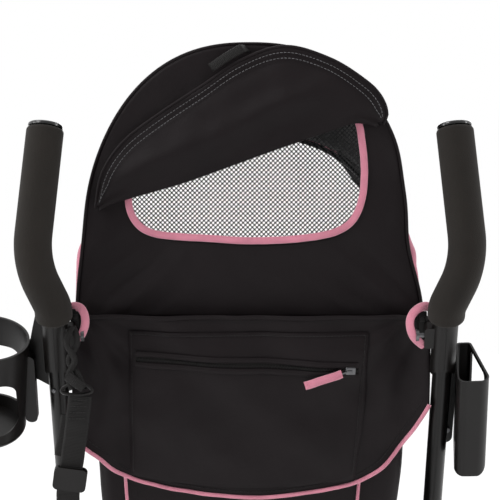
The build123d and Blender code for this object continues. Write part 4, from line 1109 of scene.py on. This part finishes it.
# ---------------------------------------------------------------- back panel
HEM = [(-176, 748), (-173, 722), (-167, 704), (-149, 690), (-129, 673), (-90, 660.5), (-45, 653), (5, 650),
       (60, 655), (100, 663.5), (124.5, 675.5), (142.5, 691), (160, 716), (177, 746)]
SEAM_Z, PANEL_SLOPE = 832.0, 0.2505
PANEL_OUT = Vector((0, -1, -PANEL_SLOPE)).normalized()
POCKET_TOP, POCKET_LEFT, POCKET_RIGHT = 817.0, -119.0, 116.0
ZIP_LEFT, ZIP_RIGHT = Vector((-112, 0, 791)), Vector((106, 0, 781))


def panel_bulge(x, z):
    """How far the back panel stands out: full over the pocket, pulled into soft pleats towards its corners."""
    p = Vector((x, z, 0))
    full = 7 * ease((130 - abs(x)) / 60) * ease((SEAM_Z - z) / 60) * ease((z - 655) / 60)
    edge = ease((abs(x) - 95) / 55)
    pleat = 3.4 * edge * math.sin(x * 0.115 + 0.8 * ruck(p, 0.02, 2.0)) * ease((SEAM_Z - z) / 50)
    # creases fan out from the upper corners, where the loops pull
    rise, run = SEAM_Z + 12 - z, 176 - abs(x)
    spread = math.exp(-(((math.hypot(rise, run) - 75) / 50) ** 2))
    pleat += 2.2 * math.sin(math.atan2(rise, run) * 13 + 2 * ruck(p, 0.015, 3.0)) * spread
    soft = 3.4 * ruck(p, 0.014, 6.0) + 1.8 * ruck(p, 0.04, 1.0)
    soft += 2.0 * math.sin((x * 0.8 + z) * 0.06 + 2.5 * ruck(p, 0.01, 8.0)) * ease((z - 665) / 40)
    return full + pleat + soft


def panel_point(x, z, out=0.0):
    return Vector((x, -219.0 + (SEAM_Z - z) * PANEL_SLOPE, z)) + PANEL_OUT * (panel_bulge(x, z) + out)


def make_back_panel():
    """Back panel from the seam down to its curved, piped hem."""
    hem = smooth_path(HEM, 141)
    rows = []
    for k in range(41):
        spots = [Vector((-175 + 352 * n / 140, SEAM_Z, 0)).lerp(foot, k / 40) for n, foot in enumerate(hem)]
        rows.append([panel_point(q.x, q.y) for q in spots])
    cloth("back_panel", "root", rows, thickness=1.3, stands_for=["pocket_panel"])
    edge = [panel_point(p.x, p.y, 0.3) for p in smooth_path(HEM, 220)]
    cord("hem_piping", "pink", "root", edge, PANEL_OUT, 2.1)
    inner = [panel_point(p.x, p.y, 0.2) for p in smooth_path([(x * 0.965, z + 6) for x, z in HEM], 200)]
    stitches("hem_stitch", "black_thread", "root", inner, PANEL_OUT, 2.6, 1.2, 0.3, 0.1)
    seam = [panel_point(-172 + 346 * n / 120, SEAM_Z - 1, 0.5) for n in range(121)]
    ribbon("panel_seam", "cloth", "root", seam, PANEL_OUT, 5.0, 1.6, lift=0.4, ripple=0.3)


def make_pocket():
    """Pocket layer sewn over the panel, with its three lines of stitches."""
    rows = []
    for k in range(31):
        t = k / 30
        right = POCKET_RIGHT - 12 * t**2
        row = []
        for n in range(71):
            x = POCKET_LEFT + (right - POCKET_LEFT) * n / 70
            low = 658 + 12 * (x / 120) ** 2
            lip = 1.9 * (1 - math.exp(-min(n, 70 - n) / 2.0)) * (1 - math.exp(-k / 0.8)) + 0.4
            row.append(panel_point(x, POCKET_TOP + (low + 3 - POCKET_TOP) * t, lip + 1.0))
        rows.append(row)
    cloth("pocket_layer", "root", rows)
    high, low = POCKET_TOP - 3, 676
    lines = {
        "top": [(POCKET_LEFT + 2, high), (POCKET_RIGHT - 2, high)],
        "left": [(POCKET_LEFT + 3, high), (POCKET_LEFT + 3, low)],
        "right": [(POCKET_RIGHT - 3, high), (POCKET_RIGHT - 14, low)],
    }
    for name, ((ax, az), (bx, bz)) in lines.items():
        path = [panel_point(ax + (bx - ax) * n / 80, az + (bz - az) * n / 80, 3.0) for n in range(81)]
        stitches(f"pocket_stitch_{name}", "black_thread", "root", path, PANEL_OUT, 2.4, 1.1, 0.32, 0.1)


def zip_point(share, out=0.0, down=0.0):
    p = ZIP_LEFT.lerp(ZIP_RIGHT, share)
    return panel_point(p.x, p.z - down, 3.2 + out)


def make_zip():
    """Zip: two welts, the tape between them and its teeth."""
    for name, down in (("upper", -5.0), ("lower", 5.0)):
        path = [zip_point(n / 80, 0.5, down) for n in range(81)]
        ribbon(f"zip_welt_{name}", "cloth", "root", path, PANEL_OUT, 6.0, 2.0, crown=0.5, lift=0.2, ripple=0.25)
    ribbon("zip_tape", "webbing", "root", [zip_point(n / 60, -0.4) for n in range(61)], PANEL_OUT, 7.0, 0.9)
    bm = bmesh.new()
    teeth = 150
    ring = ((-0.45, -1.3), (0.45, -1.3), (0.45, 1.3), (-0.45, 1.3))
    for k in range(teeth):
        share = (k + 0.5) / teeth
        side = 0.5 if k % 2 else -0.5
        p, q = zip_point(share, 0.4, side), zip_point(min(1, share + 0.002), 0.4, side)
        along = (q - p).normalized()
        across = PANEL_OUT.cross(along)
        crown = [p + along * dx * 0.7 + across * dy * 0.8 + PANEL_OUT * 0.9 for dx, dy in ring]
        foot = [p + along * dx + across * dy for dx, dy in ring]
        top, low = ([bm.verts.new(at(*q)) for q in corners] for corners in (crown, foot))
        bm.faces.new(top)
        for c in range(4):
            bm.faces.new((low[c], low[(c + 1) % 4], top[(c + 1) % 4], top[c]))
        bm.faces.new(low[::-1])
    finish(new_object("zip_teeth", mesh_of(bm, "zip_teeth")), "plastic", "root", smooth=False)


def blocks(name, material, body, parts, along, out, **kw):
    """Bevelled blocks in one piece; each part is (centre, (length along, width, height out), bevel)."""
    along = along.normalized()
    across = out.cross(along).normalized()
    turn = Matrix((along, across, along.cross(across))).transposed().to_4x4()
    bm = bmesh.new()
    for centre, size, bevel in parts:
        made = bmesh.ops.create_cube(bm, size=1.0)
        bmesh.ops.scale(bm, vec=Vector(size) / 1000, verts=made["verts"])
        edges = list({edge for v in made["verts"] for edge in v.link_edges})
        result = bmesh.ops.bevel(bm, geom=edges, offset=bevel / 1000, segments=3, affect="EDGES", profile=0.6)
        verts = {v for face in result["faces"] for v in face.verts} | {v for v in made["verts"] if v.is_valid}
        bmesh.ops.transform(bm, matrix=Matrix.Translation(at(*centre)) @ turn, verts=list(verts))
    finish(new_object(name, mesh_of(bm, name)), material, body, **kw)


def make_zip_slider():
    """Gunmetal slider, its loop, and a folded pink ribbon pull."""
    p = zip_point(0.965, 2.2)
    along = (zip_point(1.0) - zip_point(0.9)).normalized()
    bridge = p + PANEL_OUT * 1.9 - along * 1.0
    blocks("slider_body", "gunmetal", "zip", [(p, (10, 7.5, 2.6), 1.1), (bridge, (5.5, 2.2, 1.8), 0.8)], along,
           PANEL_OUT, stands_for=["zip_slider"])
    hang = Vector((-46, 0, -15)).normalized()
    start = p + PANEL_OUT * 2.6 - along * 3

    def hung(steps, count):
        return smooth_path([start + hang * d + PANEL_OUT * h for d, h in steps], count)

    cord("slider_loop", "gunmetal", "zip", hung(((0, 0), (3, 0.8), (7, 0.6), (9, 0.2)), 16), PANEL_OUT, 0.9)
    pull = hung(((6, 0.4), (14, 1.2), (26, 0.8), (36, 1.0), (44, 0.2)), 40)
    ribbon("slider_ribbon", "pink", "zip", pull, PANEL_OUT, 8.6, 2.0, crown=0.25, ripple=0.5)
    for k, d in enumerate((11.0, 41.0)):
        row = [start + hang * d + PANEL_OUT * 2.4 + Vector((0.3, 0, -1)) * s for s in (-4, -2, 0, 2, 4)]
        stitches(f"slider_stitch_{k}", "pink", "zip", row, PANEL_OUT, 1.6, 0.6, 0.3, 0.1)


# ---------------------------------------------------------------- loops, straps and keepers
def make_corner_loops():
    """Pink ribbon loops at the panel's upper corners, buttoned over the collars' studs."""
    left = [(-175, -236, 841), (-168, -240, 842.5), (-162, -243, 840), (-159, -244, 832), (-159.5, -244, 824),
            (-163, -242, 815), (-171, -238, 810)]
    right = [(177, -236, 840), (170, -240, 842.5), (163, -243, 841), (156.5, -244, 835), (154, -244, 827),
             (156, -243, 817), (161, -241, 810), (169, -236, 804)]
    for sign, side, route in ((1, "right", right), (-1, "left", left)):
        facing = Vector((-sign * 0.6, -1, 0.1))
        ribbon(f"corner_loop_{side}", "pink", "root", smooth_path(route, 60), facing, 9.0, 1.8, ripple=0.7, seed=sign,
               stands_for=["corner_loops"] if sign > 0 else ())
        centre = sum((Vector(point) for point in route), Vector()) / len(route) + Vector((sign * 3, 1, 0))
        parts = [(centre, (22, 9, 4), 1.4), (centre + Vector((0, -2.4, 3)), (6, 6, 2), 0.9)]
        blocks(f"loop_clip_{side}", "plastic", "root", parts, UP, BACK)


def strap_facing(p):
    return Vector((0.12, -1, 0.25)) if p.z > 640 else Vector((0.05, -0.72, -0.6))


def make_carry_strap():
    """Webbing carry strap with its sewn end, on the left side tube."""
    points = smooth_path([(-162, -264, 758), (-165, -260, 732), (-171.5, -244.5, 691), (-176, -233.7, 662.3),
                          (-181, -200, 606), (-181, -150, 552)], 120)
    ribbon("webbing_strap", "webbing", "side_left", points, strap_facing, 22.5, 1.9, crown=0.05, ripple=0.9,
           squash=False, stands_for=["carry_strap"])
    tail = smooth_path([(-171, -256, 738), (-176, -247, 712), (-179, -241, 698)], 40)
    ribbon("strap_tail", "webbing", "side_left", tail, strap_facing, 20.0, 1.8, crown=0.05, ripple=0.6,
           squash=False)
    for k, n in enumerate((2, 5, 8, 11)):
        row = [points[n] + Vector((s, -1.6, 0)) for s in (-8, -4, 0, 4, 8)]
        stitches(f"strap_bartack_{k}", "black_thread", "side_left", row, strap_facing, 2.2, 0.8, 0.4, 0.2,
                 squash=False)


def make_strap_fittings():
    """Doubled tape loop from the collar's lug, the ring under it, and the ladder-lock buckle."""
    strands = {
        "front": [(-170, -259, 824), (-175, -262, 808), (-167, -264, 792), (-173, -265, 777), (-169, -265, 764)],
        "back": [(-169, -257, 824), (-165, -260, 808), (-173, -261, 792), (-163, -263, 777), (-158, -264, 764)],
    }
    for name, route in strands.items():
        ribbon(f"strap_loop_{name}", "webbing", "side_left", smooth_path(route, 70), Vector((0, -1, 0.1)), 6.0,
               2.6, crown=0.5, ripple=1.0, seed=len(name), squash=False)
    knot = smooth_path([(-174, -268, 778), (-166, -270, 772), (-158, -268, 766)], 30)
    ribbon("strap_knot", "webbing", "side_left", knot, BACK, 10.0, 3.0, crown=0.6, ripple=0.8, squash=False)
    ring = []
    for k in range(48):
        c, s = math.cos(2 * math.pi * k / 48), math.sin(2 * math.pi * k / 48)
        ring.append(Vector((-165 + 14.5 * c, -264, 763 + 6.5 * s * (1 if s > 0 else 0.6))))
    cord("strap_ring", "plastic", "side_left", ring, BACK, 1.7, closed=True, squash=False)
    mesh = frame["nodes"]["strap_fittings"].data.copy()
    bm = bmesh.new()
    bm.from_mesh(mesh)
    above = [v for v in bm.verts if (v.co * 1000 - ORIGIN).z > 720]
    bmesh.ops.delete(bm, geom=above, context="VERTS")
    bm.to_mesh(mesh)
    bm.free()
    finish(new_object("strap_buckle", mesh), "plastic", "side_left", squash=False,
           stands_for=["strap_fittings"], smooth=False)


TUBE_LEAN, TUBE_HALF, KEEPER_RADIUS = 34.5, 188, 11.2  # the side tubes' lean in degrees and place across


def make_keepers():
    """Webbing keepers that hold the tub's sides to the side tubes."""
    a, r = math.radians(TUBE_LEAN), KEEPER_RADIUS
    down, behind = Vector((0, math.sin(a), -math.cos(a))), Vector((0, -math.cos(a), -math.sin(a)))
    for sign, side in ((1, "right"), (-1, "left")):
        for s, inner in ((245, 151), (352, 140)):
            centre = Vector((sign * TUBE_HALF, -230, 800)) + down * s
            end = Vector((sign * inner, centre.y + 4, centre.z))
            points = [end - behind * 4]
            for k in range(13):
                turn = math.radians(95 - 15.8 * k)
                across = -r * math.cos(turn) * 0.2 + r * math.sin(turn) * 0.98
                points.append(centre + Vector((sign, 0, 0)) * across - behind * (r * math.cos(turn)))
            points.append(end + behind * 2)
            ribbon(f"tub_keeper_{side}_{s}", "webbing", f"side_{side}", resample(points, 60),
                   lambda p: (p - centre) - down * (p - centre).dot(down), 20.0, 1.5, crown=0.05, squash=False)


def main():
    for make in (make_camera, make_world, make_lights, make_stage, paint_cad_nodes, make_tub, make_pad,
                 make_hood_top, make_rear_wall, make_window, make_window_cover, make_cover_tab):
        make()
    for side in ("left", "right"):
        make_front_side(side)
    for make in (make_front_apron, make_hood_edges, copy_bows, make_back_panel, make_pocket, make_zip,
                 make_zip_slider, make_corner_loops, make_carry_strap, make_strap_fittings, make_keepers):
        make()
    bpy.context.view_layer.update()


main()
